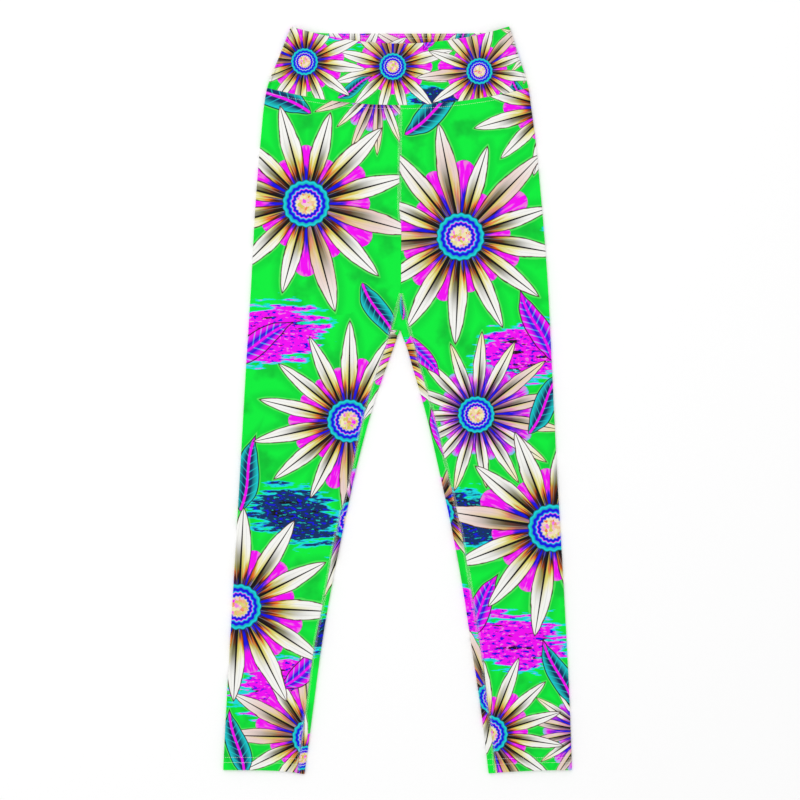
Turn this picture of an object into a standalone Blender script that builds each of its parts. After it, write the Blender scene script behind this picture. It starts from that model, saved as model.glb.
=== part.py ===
"""High-waisted full-length leggings laid flat with the front up.

X runs across the garment to the wearer's left, Y from the hems to the waist and Z up from the surface it lies
on. Every leg is one knitted panel that starts at the centre-front seam, folds round the outer side and comes
back below to the centre-back seam; under the crotch the same panel also folds round the inner side and closes
at an inseam that lies a little way in from the inner edge, on top.

The tables are in millimetres and give the garment's outline as it lies. A place on the cloth is its plan
point and a side, +1 for the upper layer and -1 for the lower one. Its height follows from its distance to the
nearest fold of the outline, so that all the pieces share one form.
"""

import bmesh
import bpy
import numpy as np

MM = 0.001

# Cloth and seams
CLOTH = 1.2
BAND_CLOTH = 2.4
SEAM_GAP = 0.3
HALF_GAP = SEAM_GAP / 2
KNOT_GAP = 0.3

# Waist: corners of the band, and how far each edge dips between its two sides
WAIST_TOP_Y = 475.2
WAIST_SEAM_Y = 397.1
FRONT_DIP = 22.0
BACK_DIP = 8.8
SEAM_DIP_POWER = 2
BACK_TOP_DIP_POWER = 8
BAND_HALF_HEIGHT = 3.0
WAIST_CURVE_REACH = 150.0

# Hems: each falls towards its inner edge, mostly over the last third of its width
HEM_Y = -469.6
HEM_FALLS = {"right": 5.3, "left": 4.3}
HEM_FALL_POWERS = {"right": 3.7, "left": 2.2}
HEM_CURVE_REACH = 70.0

# Centre seams and the gusset between them
CENTRE_X = 4.4
APEX_FRONT_Y = 136.5
APEX_BACK_Y = 138.0
APEX_CUT = 0.07
CROTCH_X = 3.4
CROTCH_Y = 88.9
CROTCH_RADIUS = 0.9
CROTCH_ARC = (158.0, 17.0)
FAN_REACH = 46.0
FAN_SPREAD = 3.0

# Outline of the outer sides and half the height of the folded garment
SIDE_COLUMNS = ("y", "right", "left", "half_height")
SIDES = (
    (475.2, -135.5, 142.0, 3.00),
    (436.1, -150.7, 154.6, 3.00),
    (397.1, -165.7, 166.4, 2.60),
    (375.3, -169.5, 169.5, 2.45),
    (337.2, -173.4, 174.6, 2.25),
    (261.0, -179.7, 182.2, 2.15),
    (146.7, -186.1, 191.1, 2.15),
    (45.1, -192.4, 196.2, 2.10),
    (-88.3, -200.0, 202.6, 2.00),
    (-240.7, -208.9, 211.5, 1.95),
    (-393.1, -217.8, 219.1, 1.90),
    (-480.0, -222.2, 222.2, 1.90),
)

# Outline of the inner sides, and how far in from it the inseam lies
INNER_COLUMNS = ("y", "right", "right_strip", "left", "left_strip")
INNER = (
    (88.3, 2.57, 8.6, 4.26, 9.4),
    (81.9, 0.0, 8.6, 6.2, 9.4),
    (72.5, -3.1, 9.2, 10.2, 9.3),
    (45.1, -13.3, 10.0, 18.4, 9.3),
    (-12.1, -32.4, 8.4, 34.9, 9.9),
    (-88.3, -52.7, 5.1, 52.7, 10.4),
    (-164.5, -69.2, 8.0, 69.2, 11.4),
    (-240.7, -84.5, 6.8, 83.2, 10.4),
    (-316.9, -97.2, 9.1, 94.6, 11.0),
    (-393.1, -107.3, 9.4, 106.0, 9.8),
    (-480.0, -118.9, 9.5, 116.5, 8.9),
)

# Widest corners of the gusset on the upper layer, and how high its edges pass round the inner folds
GUSSET_CORNERS = {"right": (-8.5, 90.2), "left": (17.1, 83.2)}
GUSSET_KNOTS_Y = {"right": 81.9, "left": 72.5}

# Low soft folds of the upper layer
RIDGE_COLUMNS = ("x", "y", "direction", "length", "width", "height")
RIDGES = (
    (-52.0, 128.0, 152.0, 105.0, 20.0, 0.8),
    (66.0, 118.0, 24.0, 120.0, 22.0, 0.7),
    (-66.0, 205.0, 118.0, 130.0, 30.0, 0.5),
    (84.0, 250.0, 70.0, 150.0, 32.0, 0.5),
    (-122.0, 40.0, 94.0, 260.0, 38.0, 0.6),
    (128.0, 10.0, 85.0, 280.0, 42.0, 0.7),
    (-128.0, -140.0, 14.0, 90.0, 20.0, 0.5),
    (-140.0, -188.0, -9.0, 84.0, 18.0, -0.4),
    (134.0, -168.0, -13.0, 96.0, 22.0, 0.5),
    (-158.0, -330.0, 84.0, 220.0, 28.0, 0.5),
    (164.0, -345.0, 97.0, 230.0, 30.0, 0.5),
)
RIDGE_CLEAR = 22.0

# Cells of the walls
OUTLINE_STEPS = 300
OUTLINE_PAST_HEM = 8.0
CROTCH_ARC_POINTS = 7
CROTCH_ROW_POINTS = {"right": 3, "arc": 3, "left": 4}
TOP_CELLS = 9
BOTTOM_CELLS = 8
LOW_LINES = 22
HIP_LINES = 10
TAIL_CELLS = 5
TAIL_AT_KNOT = 3.0
TAIL_AT_APEX = 20.0
TAIL_AT_WAIST = 70.0
FOLD_ANGLES = (45.0, 0.0, -45.0)
TIP_SHARES = (0.4, 0.75, 0.92)
BACK_EDGE_SHARES = (0.0, 0.015, 0.045, 0.12, 0.3, 0.5, 0.75, 1.0)
FRONT_EDGE_AT_KNOT = 0.12
GUSSET_CORNER_ROW = 0.8
GUSSET_ROWS_ABOVE = (0.0, 0.2, 0.4, 0.6)
BAND_COLUMNS = 20
BAND_ROWS = 5
BAND_EDGE = ((0.0, 0.5), (0.4, 0.87), (1.2, 1.0))
BAND_FOLD_ANGLES = (5.0, 35.0, 62.0, 90.0)
END_STEP = 0.98
FACING_Z = 2.1
FACING_SIDE_INSET = 3.6
FACING_TOP_INSET = 0.32
FACING_ROWS = 3
SHARP_EDGE = 40.0

RIGHT = {"name": "leg_right", "side": "right", "out": -1}
LEFT = {"name": "leg_left", "side": "left", "out": 1}

GREEN = (0.012, 0.80, 0.075)
MAGENTA = (0.92, 0.012, 0.92)


def clear_scene():
    for item in list(bpy.data.objects):
        bpy.data.objects.remove(item, do_unlink=True)


def column(table, names, name):
    return np.array([row[names.index(name)] for row in table])


def curve_through(knots, values, at):
    """Smooth curve through the rows of a table whose knots fall from row to row."""
    knots, values = knots[::-1], values[::-1]
    slopes = np.gradient(values, knots)
    at = np.clip(at, knots[0], knots[-1])
    i = np.clip(np.searchsorted(knots, at) - 1, 0, len(knots) - 2)
    step = knots[i + 1] - knots[i]
    t = (at - knots[i]) / step
    start = (1 + 2 * t) * (1 - t) ** 2 * values[i] + t * (1 - t) ** 2 * step * slopes[i]
    end = t * t * (3 - 2 * t) * values[i + 1] - t * t * (1 - t) * step * slopes[i + 1]
    return start + end


def side_x(side, y):
    return curve_through(column(SIDES, SIDE_COLUMNS, "y"), column(SIDES, SIDE_COLUMNS, side), y)


def half_height(y):
    return curve_through(column(SIDES, SIDE_COLUMNS, "y"), column(SIDES, SIDE_COLUMNS, "half_height"), y)


def inner_x(side, y):
    return curve_through(column(INNER, INNER_COLUMNS, "y"), column(INNER, INNER_COLUMNS, side), y)


def inseam_x(leg, y):
    strip = inner_x(leg["side"] + "_strip", y)
    return inner_x(leg["side"], y) + leg["out"] * strip


def crotch_arc(count):
    """Points inside the round top of the opening between the legs."""
    angles = np.radians(np.linspace(CROTCH_ARC[0], CROTCH_ARC[1], count + 2)[1:-1])
    middle_y = CROTCH_Y - CROTCH_RADIUS
    return [(CROTCH_X + CROTCH_RADIUS * np.cos(a), middle_y + CROTCH_RADIUS * np.sin(a)) for a in angles]


def outline():
    """Polylines of the garment's folds in plan, each with the open surface on its right hand."""
    end = HEM_Y - OUTLINE_PAST_HEM
    down = np.linspace(WAIST_TOP_Y, end, OUTLINE_STEPS)
    right_side = [(side_x("right", y), y) for y in down]
    left_side = [(side_x("left", y), y) for y in down[::-1]]
    legs_y = np.append(np.linspace(end, GUSSET_KNOTS_Y["left"], OUTLINE_STEPS), INNER[0][0])
    up = [(inner_x("right", y), y) for y in legs_y]
    back_down = [(inner_x("left", y), y) for y in legs_y[::-1]]
    inner = up + crotch_arc(CROTCH_ARC_POINTS) + back_down
    return [np.array(line) for line in (right_side, left_side, inner)]


def fold_segments(lines):
    """Start, end, and the outward direction at both ends of every segment of the outline."""
    starts, ends, start_out, end_out = [], [], [], []
    for line in lines:
        step = np.diff(line, axis=0)
        normal = np.stack([step[:, 1], -step[:, 0]], axis=1)
        normal /= np.linalg.norm(normal, axis=1, keepdims=True)
        corner = np.vstack([normal[:1], normal[:-1] + normal[1:], normal[-1:]])
        corner /= np.linalg.norm(corner, axis=1, keepdims=True)
        starts.append(line[:-1])
        ends.append(line[1:])
        start_out.append(corner[:-1])
        end_out.append(corner[1:])
    return [np.vstack(part) for part in (starts, ends, start_out, end_out)]


SEGMENTS = fold_segments(outline())


def fold_at(plan):
    """Distance of each plan point to the nearest fold, and the direction out of the garment there."""
    starts, ends, start_out, end_out = SEGMENTS
    step = ends - starts
    offset = plan[:, None, :] - starts[None]
    t = np.clip((offset * step).sum(2) / (step * step).sum(1), 0, 1)
    away = np.linalg.norm(offset - t[..., None] * step, axis=2)
    nearest = away.argmin(axis=1)
    rows = np.arange(len(plan))
    t = t[rows, nearest, None]
    out = (1 - t) * start_out[nearest] + t * end_out[nearest]
    return away[rows, nearest], out / np.linalg.norm(out, axis=1, keepdims=True)


def smooth_step(t):
    t = np.clip(t, 0, 1)
    return t * t * (3 - 2 * t)


def ridges(plan, clear):
    """Height that the soft folds add to the upper layer, fading out towards the outline."""
    height = np.zeros(len(plan))
    for row in RIDGES:
        ridge = dict(zip(RIDGE_COLUMNS, row, strict=True))
        angle = np.radians(ridge["direction"])
        dx, dy = plan[:, 0] - ridge["x"], plan[:, 1] - ridge["y"]
        along = (dx * np.cos(angle) + dy * np.sin(angle)) / (ridge["length"] / 2)
        across = (dy * np.cos(angle) - dx * np.sin(angle)) / ridge["width"]
        height += ridge["height"] * np.exp(-(across**2) - along**2)
    return height * smooth_step(clear / RIDGE_CLEAR)


def cloth_points(places, offsets, cloth, half):
    """Points at the given offsets from the middle of the cloth, for places (x, y, side)."""
    plan, side = places[:, :2], places[:, 2]
    away, out = fold_at(plan)
    middle = half - cloth / 2
    reach = np.clip(half - away, 0, middle)
    rise = np.sqrt(middle**2 - reach**2)
    points = np.empty((len(places), 3))
    points[:, :2] = plan + out * (offsets * reach / middle)[:, None]
    points[:, 2] = half + side * rise * (1 + offsets / middle)
    points[:, 2] += np.where(side > 0, ridges(plan, away - half), 0.0)
    return points


def between(start, end, count):
    """Points from start up to but not including end, in equal steps."""
    start, end = np.array(start, float), np.array(end, float)
    return [start + (end - start) * k / count for k in range(count)]


def towards(start, end, distance):
    start, end = np.array(start, float), np.array(end, float)
    return start + (end - start) * distance / np.linalg.norm(end - start)


def fold_places(edge, before, after, half, first_side):
    """Places round a fold: edge is its outline point, before and after the line's next points."""
    middle = half - CLOTH / 2
    places = []
    for angle in FOLD_ANGLES:
        inset = half - middle * np.cos(np.radians(angle))
        point = towards(edge, before if angle >= 0 else after, inset)
        places.append((*point, first_side if angle >= 0 else -first_side))
    return places


def waist_drop(x, dip):
    """How far the seam under the band lies below its ends, at x."""
    right, left = side_x("right", WAIST_SEAM_Y), side_x("left", WAIST_SEAM_Y)
    s = np.clip(np.abs(2 * x - left - right) / (left - right), 0, 1)
    return dip * (1 - s**SEAM_DIP_POWER)


def hem_drop(plan, leg, level):
    """Plan points of a line at this level of a leg, moved down along the leg as the hem falls."""
    side, y = leg["side"], plan[:, 1]
    near = np.clip(1 - (level - HEM_Y) / HEM_CURVE_REACH, 0, 1) ** 2
    share = (plan[:, 0] - side_x(side, y)) / (inner_x(side, y) - side_x(side, y))
    power = HEM_FALL_POWERS[side]
    y = y - near * HEM_FALLS[side] * np.clip(share, 0, 1) ** power
    return np.column_stack([side_x(side, y) * (1 - share) + inner_x(side, y) * share, y])


def beside(path, distance):
    """A plan path moved sideways, to its left where the distance is positive."""
    path = np.array(path, float)
    step = np.diff(path, axis=0)
    normal = np.stack([-step[:, 1], step[:, 0]], axis=1)
    normal /= np.linalg.norm(normal, axis=1, keepdims=True)
    before = np.vstack([normal[:1], normal])
    after = np.vstack([normal, normal[-1:]])
    mitre = before + after
    mitre /= (1 + (before * after).sum(1))[:, None]
    return path + distance * mitre


def on_fold(outline_points):
    """Middle of the cloth where it passes round a fold at the given points of the outline."""
    points = np.array(outline_points, float).reshape(-1, 2)
    return points - fold_at(points)[1] * CLOTH / 2


def knot_point(side, lift=0.0):
    """Middle of the cloth where the gusset's lower edge passes round a leg's inner fold."""
    y = GUSSET_KNOTS_Y[side] + lift
    return on_fold((inner_x(side, y), y))[0]


def low_lines(leg):
    """Lines round the leg from the hem to the gusset's corner. Each is (outer, front, inner, back) points."""
    corner, knot_y = GUSSET_CORNERS[leg["side"]], GUSSET_KNOTS_Y[leg["side"]]
    lines = []
    for level in np.linspace(HEM_Y, corner[1], LOW_LINES + 1):
        outer = (side_x(leg["side"], level), level)
        fan = smooth_step((level - FAN_REACH) / (corner[1] - FAN_REACH))
        inner_y = level - fan * (corner[1] - knot_y + FAN_SPREAD)
        inner = (inner_x(leg["side"], inner_y), inner_y)
        seam = (inseam_x(leg, level) + fan * (corner[0] - inseam_x(leg, corner[1])), level)
        lines.append({"outer": outer, "front": seam, "inner": inner, "back": seam, "level": level})
    return lines


def tip_lines(leg):
    """Lines past the corner, whose back edge follows the gusset down to the inner fold."""
    corner, knot = np.array(GUSSET_CORNERS[leg["side"]]), knot_point(leg["side"])
    apex = np.array((CENTRE_X, APEX_FRONT_Y))
    lines = []
    for share in TIP_SHARES:
        inner_y = GUSSET_KNOTS_Y[leg["side"]] - FAN_SPREAD * (1 - share)
        front = corner + (apex - corner) * share * FRONT_EDGE_AT_KNOT
        lines.append(
            {
                "outer": (side_x(leg["side"], front[1]), front[1]),
                "front": tuple(front),
                "inner": (inner_x(leg["side"], inner_y), inner_y),
                "back": tuple(corner + (knot - corner) * share),
                "level": front[1],
            }
        )
    return lines


def gusset_lines(leg):
    """Lines from the inner fold up to the gusset's apexes. They have no inner fold."""
    corner, knot = np.array(GUSSET_CORNERS[leg["side"]]), knot_point(leg["side"])
    front_apex, back_apex = np.array((CENTRE_X, APEX_FRONT_Y)), np.array((CENTRE_X, APEX_BACK_Y))
    lines = []
    for share in BACK_EDGE_SHARES:
        front = corner + (front_apex - corner) * (FRONT_EDGE_AT_KNOT + (1 - FRONT_EDGE_AT_KNOT) * share)
        level = front[1] + (back_apex[1] - front_apex[1]) * share
        lines.append(
            {
                "outer": (side_x(leg["side"], level), level),
                "front": tuple(front),
                "inner": None,
                "back": tuple(knot + (back_apex - knot) * share),
                "level": level,
                "tail": TAIL_AT_KNOT + (TAIL_AT_APEX - TAIL_AT_KNOT) * share,
            }
        )
    return lines


def hip_lines(leg):
    """Lines from the gusset's apexes to the seam under the waistband."""
    lines = []
    for k in range(1, HIP_LINES + 1):
        share = k / HIP_LINES
        level = APEX_BACK_Y + (WAIST_SEAM_Y - HALF_GAP - APEX_BACK_Y) * share
        lines.append(
            {
                "outer": (side_x(leg["side"], level), level),
                "front": (CENTRE_X, level),
                "inner": None,
                "back": (CENTRE_X, level),
                "level": level,
                "tail": TAIL_AT_APEX + (TAIL_AT_WAIST - TAIL_AT_APEX) * share,
                "curve": np.clip(1 - (WAIST_SEAM_Y - HALF_GAP - level) / WAIST_CURVE_REACH, 0, 1) ** 2,
            }
        )
    return lines


def part_seams(lines, leg):
    """Moves the front and back edges half a seam gap off the seams that they meet at."""
    out = leg["out"]
    fronts = beside([line["front"] for line in lines], -out * HALF_GAP)
    on_top = [line["back"] for line in lines if line["inner"] is not None]
    below = [line["back"] for line in lines if line["inner"] is None]
    knot = below[0]
    backs = list(beside([*on_top, knot], out * HALF_GAP)[:-1])
    below = list(beside(below, -out * HALF_GAP))
    below[0] = knot_point(leg["side"], -KNOT_GAP)
    for line, front, back in zip(lines, fronts, backs + below, strict=True):
        line["front"], line["back"] = tuple(front), tuple(back)


def line_places(line, leg):
    """(x, y, side) of each column on one line round a leg."""
    half = half_height(line["level"])
    outer, front, back = line["outer"], line["front"], line["back"]
    inner = line["inner"] if line["inner"] is not None else back
    places = [(*p, 1) for p in between(front, towards(outer, front, half), TOP_CELLS)]
    places.append((*towards(outer, front, half), 1))
    places += fold_places(outer, front, inner, half, 1)
    start = towards(outer, inner, half)
    if line["inner"] is not None:
        end = towards(inner, outer, half)
        places += [(*p, -1) for p in between(start, end, BOTTOM_CELLS)]
        places.append((*end, -1))
        places += fold_places(inner, outer, back, half, -1)
        places += [(*towards(inner, back, half), 1), (*back, 1)]
    else:
        end = towards(back, outer, line["tail"])
        places += [(*p, -1) for p in between(start, end, BOTTOM_CELLS)]
        places += [(*p, -1) for p in between(end, back, TAIL_CELLS)]
        places.append((*back, -1))
    places = np.array(places, float)
    if line["level"] < HEM_Y + HEM_CURVE_REACH:
        places[:, :2] = hem_drop(places[:, :2], leg, line["level"])
    dip = np.where(places[:, 2] > 0, FRONT_DIP, BACK_DIP)
    places[:, 1] -= line.get("curve", 0.0) * waist_drop(places[:, 0], dip)
    return places


def wall_object(name, outside, inside, material, collection):
    """Closed wall between two grids of points (rows, columns, 3), in millimetres."""
    rows, columns = outside.shape[:2]
    mesh = bmesh.new()
    skins = []
    for grid in (outside, inside):
        skins.append([[mesh.verts.new(p * MM) for p in row] for row in grid])
    outer, inner = skins
    for r in range(rows - 1):
        for c in range(columns - 1):
            mesh.faces.new((outer[r][c], outer[r][c + 1], outer[r + 1][c + 1], outer[r + 1][c]))
            mesh.faces.new((inner[r][c], inner[r + 1][c], inner[r + 1][c + 1], inner[r][c + 1]))
    rim = [(0, c) for c in range(columns)]
    rim += [(r, columns - 1) for r in range(1, rows)]
    rim += [(rows - 1, c) for c in range(columns - 2, -1, -1)]
    rim += [(r, 0) for r in range(rows - 2, 0, -1)]
    for (r0, c0), (r1, c1) in zip(rim, rim[1:] + rim[:1], strict=True):
        mesh.faces.new((outer[r1][c1], outer[r0][c0], inner[r0][c0], inner[r1][c1]))
    bmesh.ops.recalc_face_normals(mesh, faces=mesh.faces)
    data = bpy.data.meshes.new(name)
    mesh.to_mesh(data)
    mesh.free()
    data.materials.append(material)
    data.shade_smooth()
    data.set_sharp_from_angle(angle=np.radians(SHARP_EDGE))
    item = bpy.data.objects.new(name, data)
    collection.objects.link(item)
    return item


def cloth_wall(name, grid, cloth, half, material, collection):
    """Wall of cloth over a grid of places; half is half the folded height, one value a row."""
    rows, columns = len(grid), len(grid[0])
    places = np.vstack(grid)
    heights = np.repeat(np.asarray(half, float), columns)
    skins = []
    for offset in (cloth / 2, -cloth / 2):
        offsets = np.full(len(places), offset)
        skins.append(cloth_points(places, offsets, cloth, heights).reshape(rows, columns, 3))
    return wall_object(name, *skins, material, collection)


def make_leg(leg, material, collection):
    lines = low_lines(leg) + tip_lines(leg) + gusset_lines(leg) + hip_lines(leg)
    part_seams(lines, leg)
    grid = [line_places(line, leg) for line in lines]
    half = [half_height(line["level"]) for line in lines]
    return cloth_wall(leg["name"], grid, CLOTH, half, material, collection)


def crotch_row():
    """Middle of the gusset's cloth along its lowest fold, from the right leg's inner side to the left's."""
    start, end = GUSSET_KNOTS_Y["right"] + KNOT_GAP, GUSSET_KNOTS_Y["left"] + KNOT_GAP
    count, top = CROTCH_ROW_POINTS, INNER[0][0]
    up = [(inner_x("right", y), y) for y in np.linspace(start, top, count["right"])]
    down = [(inner_x("left", y), y) for y in np.linspace(top, end, count["left"])]
    return on_fold(up + crotch_arc(count["arc"]) + down)


def gusset_rail(side, end, shares):
    """Edge of the gusset on the upper layer, from near its front apex round its corner to the inner fold."""
    apex, corner = np.array((CENTRE_X, APEX_FRONT_Y)), np.array(GUSSET_CORNERS[side])
    inwards = HALF_GAP if side == "right" else -HALF_GAP
    seam = beside([apex + (corner - apex) * APEX_CUT, corner, knot_point(side)], inwards)
    points = []
    for share in shares:
        if share <= GUSSET_CORNER_ROW:
            points.append(seam[0] + (seam[1] - seam[0]) * share / GUSSET_CORNER_ROW)
        else:
            rest = (share - GUSSET_CORNER_ROW) / (1 - GUSSET_CORNER_ROW)
            points.append(seam[1] + (end - seam[1]) * rest)
    return np.array(points)


def gusset_back_end(side):
    """End of the gusset's edge on the lower layer, near its back apex."""
    apex, knot = np.array((CENTRE_X, APEX_BACK_Y)), knot_point(side)
    inwards = SEAM_GAP if side == "right" else -SEAM_GAP
    return beside([apex + (knot - apex) * 2 * APEX_CUT, knot], inwards)[0]


def make_gusset(material, collection):
    fold = crotch_row()
    run = np.concatenate([[0], np.cumsum(np.linalg.norm(np.diff(fold, axis=0), axis=1))])
    s = (run / run[-1])[:, None]
    tip = [GUSSET_CORNER_ROW + (1 - GUSSET_CORNER_ROW) * share for share in (0.0, *TIP_SHARES, 1.0)]
    shares = np.array([*GUSSET_ROWS_ABOVE, *tip])
    right = gusset_rail("right", fold[0], shares)
    left = gusset_rail("left", fold[-1], shares)
    front = right[0] + s * (left[0] - right[0])
    back_ends = gusset_back_end("right"), gusset_back_end("left")
    back = back_ends[0] + s * (back_ends[1] - back_ends[0])
    grid = []
    for k, t in enumerate(shares):
        row = (1 - t) * front + t * fold
        sides = right[k] + s * (left[k] - right[k])
        corners = row[0] + s * (row[-1] - row[0])
        grid.append(np.column_stack([row + sides - corners, np.ones(len(s))]))
    for t in BACK_EDGE_SHARES[1:]:
        grid.append(np.column_stack([(1 - t) * fold + t * back, -np.ones(len(s))]))
    half = [half_height(row[:, 1].mean()) for row in grid]
    return cloth_wall("gusset", grid, CLOTH, half, material, collection)


def band_place(share, s, dip, power):
    """Plan point on a band, share of the way up it and s of the way from its middle to a side."""
    y = WAIST_SEAM_Y + (WAIST_TOP_Y - WAIST_SEAM_Y) * share
    right, left = side_x("right", y), side_x("left", y)
    x = (right + left) / 2 + s * (left - right) / 2
    return x, y - dip * (1 - abs(s) ** power)


def band_rows():
    """Share of the way up the band of each row, and the share of the full cloth there."""
    height = WAIST_TOP_Y - WAIST_SEAM_Y
    rows = [(HALF_GAP / height, 1.0)]
    rows += [(k / BAND_ROWS, 1.0) for k in range(1, BAND_ROWS)]
    rows += [(1 - inset / height, fullness) for inset, fullness in BAND_EDGE[::-1]]
    return rows


def band_side(share, end, dip, power, middle):
    """Plan points of one row round the fold at a side (end -1 or 1), from the seam to the flat stretch."""
    edge, near = np.array([band_place(share, s, dip, power) for s in (end, END_STEP * end)])
    along = (near - edge) / np.linalg.norm(near - edge)
    inwards = -fold_at(edge[None])[1][0]
    insets = BAND_HALF_HEIGHT - middle * np.cos(np.radians(BAND_FOLD_ANGLES))
    points = edge + along * (insets / (along @ inwards))[:, None]
    away, out = fold_at(points)
    return points - out * (insets - away)[:, None]


def band_row(share, dip, power, middle):
    """Plan points of one row, from the right side's seam to the left side's."""
    right = band_side(share, -1, dip, power, middle)
    left = band_side(share, 1, dip, power, middle)
    width = side_x("left", right[0][1]) - side_x("right", right[0][1])
    reach = 2 * (right[-1][0] - right[0][0]) / width
    flat = [band_place(share, s, dip, power) for s in np.linspace(reach - 1, 1 - reach, BAND_COLUMNS + 1)]
    return np.vstack([right[:-1], flat, left[:-1][::-1]])


def dip_power(share, top_power):
    """Power of the curve of a band's row, from the seam's to the top edge's."""
    return SEAM_DIP_POWER + (top_power - SEAM_DIP_POWER) * share


def make_band(name, side, cloth, dip, top_power, material, collection):
    """One layer of the waistband, from side to side, wrapped half way round each side."""
    middle = BAND_HALF_HEIGHT - cloth / 2
    places, fullness = [], []
    for share, full in band_rows():
        row = band_row(share, dip, dip_power(share, top_power), middle)
        places.append(np.column_stack([row, np.full(len(row), side)]))
        fullness += [full] * len(row)
    rows, places = len(places), np.vstack(places)
    half, offsets = np.full(len(places), BAND_HALF_HEIGHT), np.array(fullness) * cloth / 2
    skins = [cloth_points(places, sign * offsets, cloth, half).reshape(rows, -1, 3) for sign in (1, -1)]
    return wall_object(name, *skins, material, collection)


def make_facing(material, collection):
    """Inner cloth of the back band, flat on it and clear of the folds at the sides."""
    height = WAIST_TOP_Y - WAIST_SEAM_Y
    half_width = (side_x("left", WAIST_TOP_Y) - side_x("right", WAIST_TOP_Y)) / 2
    reach = 1 - FACING_SIDE_INSET / half_width
    skins = []
    for z in (FACING_Z + CLOTH / 2, FACING_Z - CLOTH / 2):
        rows = []
        for share in np.linspace(HALF_GAP / height, 1 - FACING_TOP_INSET / height, FACING_ROWS + 1):
            power = dip_power(share, BACK_TOP_DIP_POWER)
            across = np.linspace(-reach, reach, BAND_COLUMNS + 1)
            rows.append([(*band_place(share, s, BACK_DIP, power), z) for s in across])
        skins.append(np.array(rows))
    return wall_object("waistband_facing", *skins, material, collection)


def knit_material(name, colour):
    material = bpy.data.materials.new(name)
    material.use_nodes = True
    shader = material.node_tree.nodes["Principled BSDF"]
    shader.inputs["Base Color"].default_value = (*colour, 1.0)
    shader.inputs["Roughness"].default_value = 0.75
    shader.inputs["Metallic"].default_value = 0.0
    material.diffuse_color = (*colour, 1.0)
    return material


def build():
    clear_scene()
    collection = bpy.data.collections.new("leggings")
    bpy.context.scene.collection.children.link(collection)
    legs = knit_material("printed_knit_legs", GREEN)
    band = knit_material("printed_knit_band", MAGENTA)
    make_leg(RIGHT, legs, collection)
    make_leg(LEFT, legs, collection)
    make_gusset(legs, collection)
    make_band("waistband_front", 1, BAND_CLOTH, FRONT_DIP, SEAM_DIP_POWER, band, collection)
    make_band("waistband_back", -1, CLOTH, BACK_DIP, BACK_TOP_DIP_POWER, band, collection)
    make_facing(band, collection)


build()
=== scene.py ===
"""Printed knit leggings laid flat with the front up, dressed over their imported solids.

Measures are in millimetres and become metres where a mesh is made. A place on the cloth is (x, y, side):
its plan point, and +1 on the upper layer or -1 on the lower one. Its height follows from its distance to the
nearest fold of the garment's outline, as in the solids. The printed side of the cloth is OUTSIDE above the
wall's middle.
"""

import bpy
import numpy as np
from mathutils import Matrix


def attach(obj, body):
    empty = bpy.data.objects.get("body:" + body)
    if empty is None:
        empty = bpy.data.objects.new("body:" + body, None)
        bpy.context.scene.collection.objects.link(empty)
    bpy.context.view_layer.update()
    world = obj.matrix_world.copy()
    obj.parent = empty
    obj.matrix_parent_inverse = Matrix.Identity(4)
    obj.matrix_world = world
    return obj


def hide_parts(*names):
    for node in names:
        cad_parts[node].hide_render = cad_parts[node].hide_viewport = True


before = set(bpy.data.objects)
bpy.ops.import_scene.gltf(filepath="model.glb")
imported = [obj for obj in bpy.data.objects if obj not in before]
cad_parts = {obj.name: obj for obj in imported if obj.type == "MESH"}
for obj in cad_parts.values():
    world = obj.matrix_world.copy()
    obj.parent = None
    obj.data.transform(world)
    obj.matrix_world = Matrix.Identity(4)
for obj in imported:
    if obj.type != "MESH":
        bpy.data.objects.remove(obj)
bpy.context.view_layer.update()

MM = 0.001

# Cloth and seams
CLOTH = 1.2
KNIT = 0.6
OUTSIDE = 0.6
SEAM_GAP = 0.06
HALF_GAP = SEAM_GAP / 2
EDGE_INSETS = (0.0, 0.3, 0.7, 1.2, 2.1, 3.0, 4.2)
EDGE_ROLL = 0.42
EDGE_ROLL_WIDTH = 0.45
INSETS_SHARE = 0.6
FLAT_SEAM_RISE = 0.12
FLAT_SEAM_DENT = 0.2
FLAT_SEAM = (0.3, 3.0)
FLAT_SEAM_FADE = 0.8
GROOVE_DEPTH = 0.16
GROOVE_WIDTH = 0.35
WAIST_TOPSTITCH = 6.4
BESIDE_TOPSTITCH = 0.5
TOP_EDGE_ROWS = (2.2, 6.1)

# Waist: corners of the band, and how far each edge dips between its two sides
WAIST_TOP_Y = 475.2
WAIST_SEAM_Y = 397.1
FRONT_DIP = 22.0
BACK_DIP = 8.8
SEAM_DIP_POWER = 2
BACK_TOP_DIP_POWER = 8
WAIST_CURVE_REACH = 150.0
BAND_HALF_HEIGHT = 3.0
BAND_HEIGHT = WAIST_TOP_Y - WAIST_SEAM_Y
LEG_TOP = WAIST_SEAM_Y - HALF_GAP

# Hems: each falls towards its inner edge, mostly over the last third of its width
HEM_Y = -469.6
HEM_FALLS = {"right": 5.3, "left": 4.3}
HEM_FALL_POWERS = {"right": 3.7, "left": 2.2}
HEM_CURVE_REACH = 70.0
HEM_DEPTH = 18.0
HEM_INSIDE = -0.65
HEM_ROLL = 0.625
HEM_ROWS = (9.8, 16.2)

# Rows of points of a hem: heights of those inside, angles round its fold, and heights of those outside
HEM_CELLS_INSIDE = (HEM_DEPTH, 14, 10, 6, 3, 1.4, HEM_ROLL)
HEM_FOLD_ANGLES = (-60, -30, 0, 30, 60)
HEM_CELLS_OUTSIDE = (
    HEM_ROLL, 1.4, 3, 5, 7, 8.6, 9.3, HEM_ROWS[0], 10.3, 11.2, 13, 14.6, 15.6, HEM_ROWS[1], 16.8, 18, 20,
)

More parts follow.
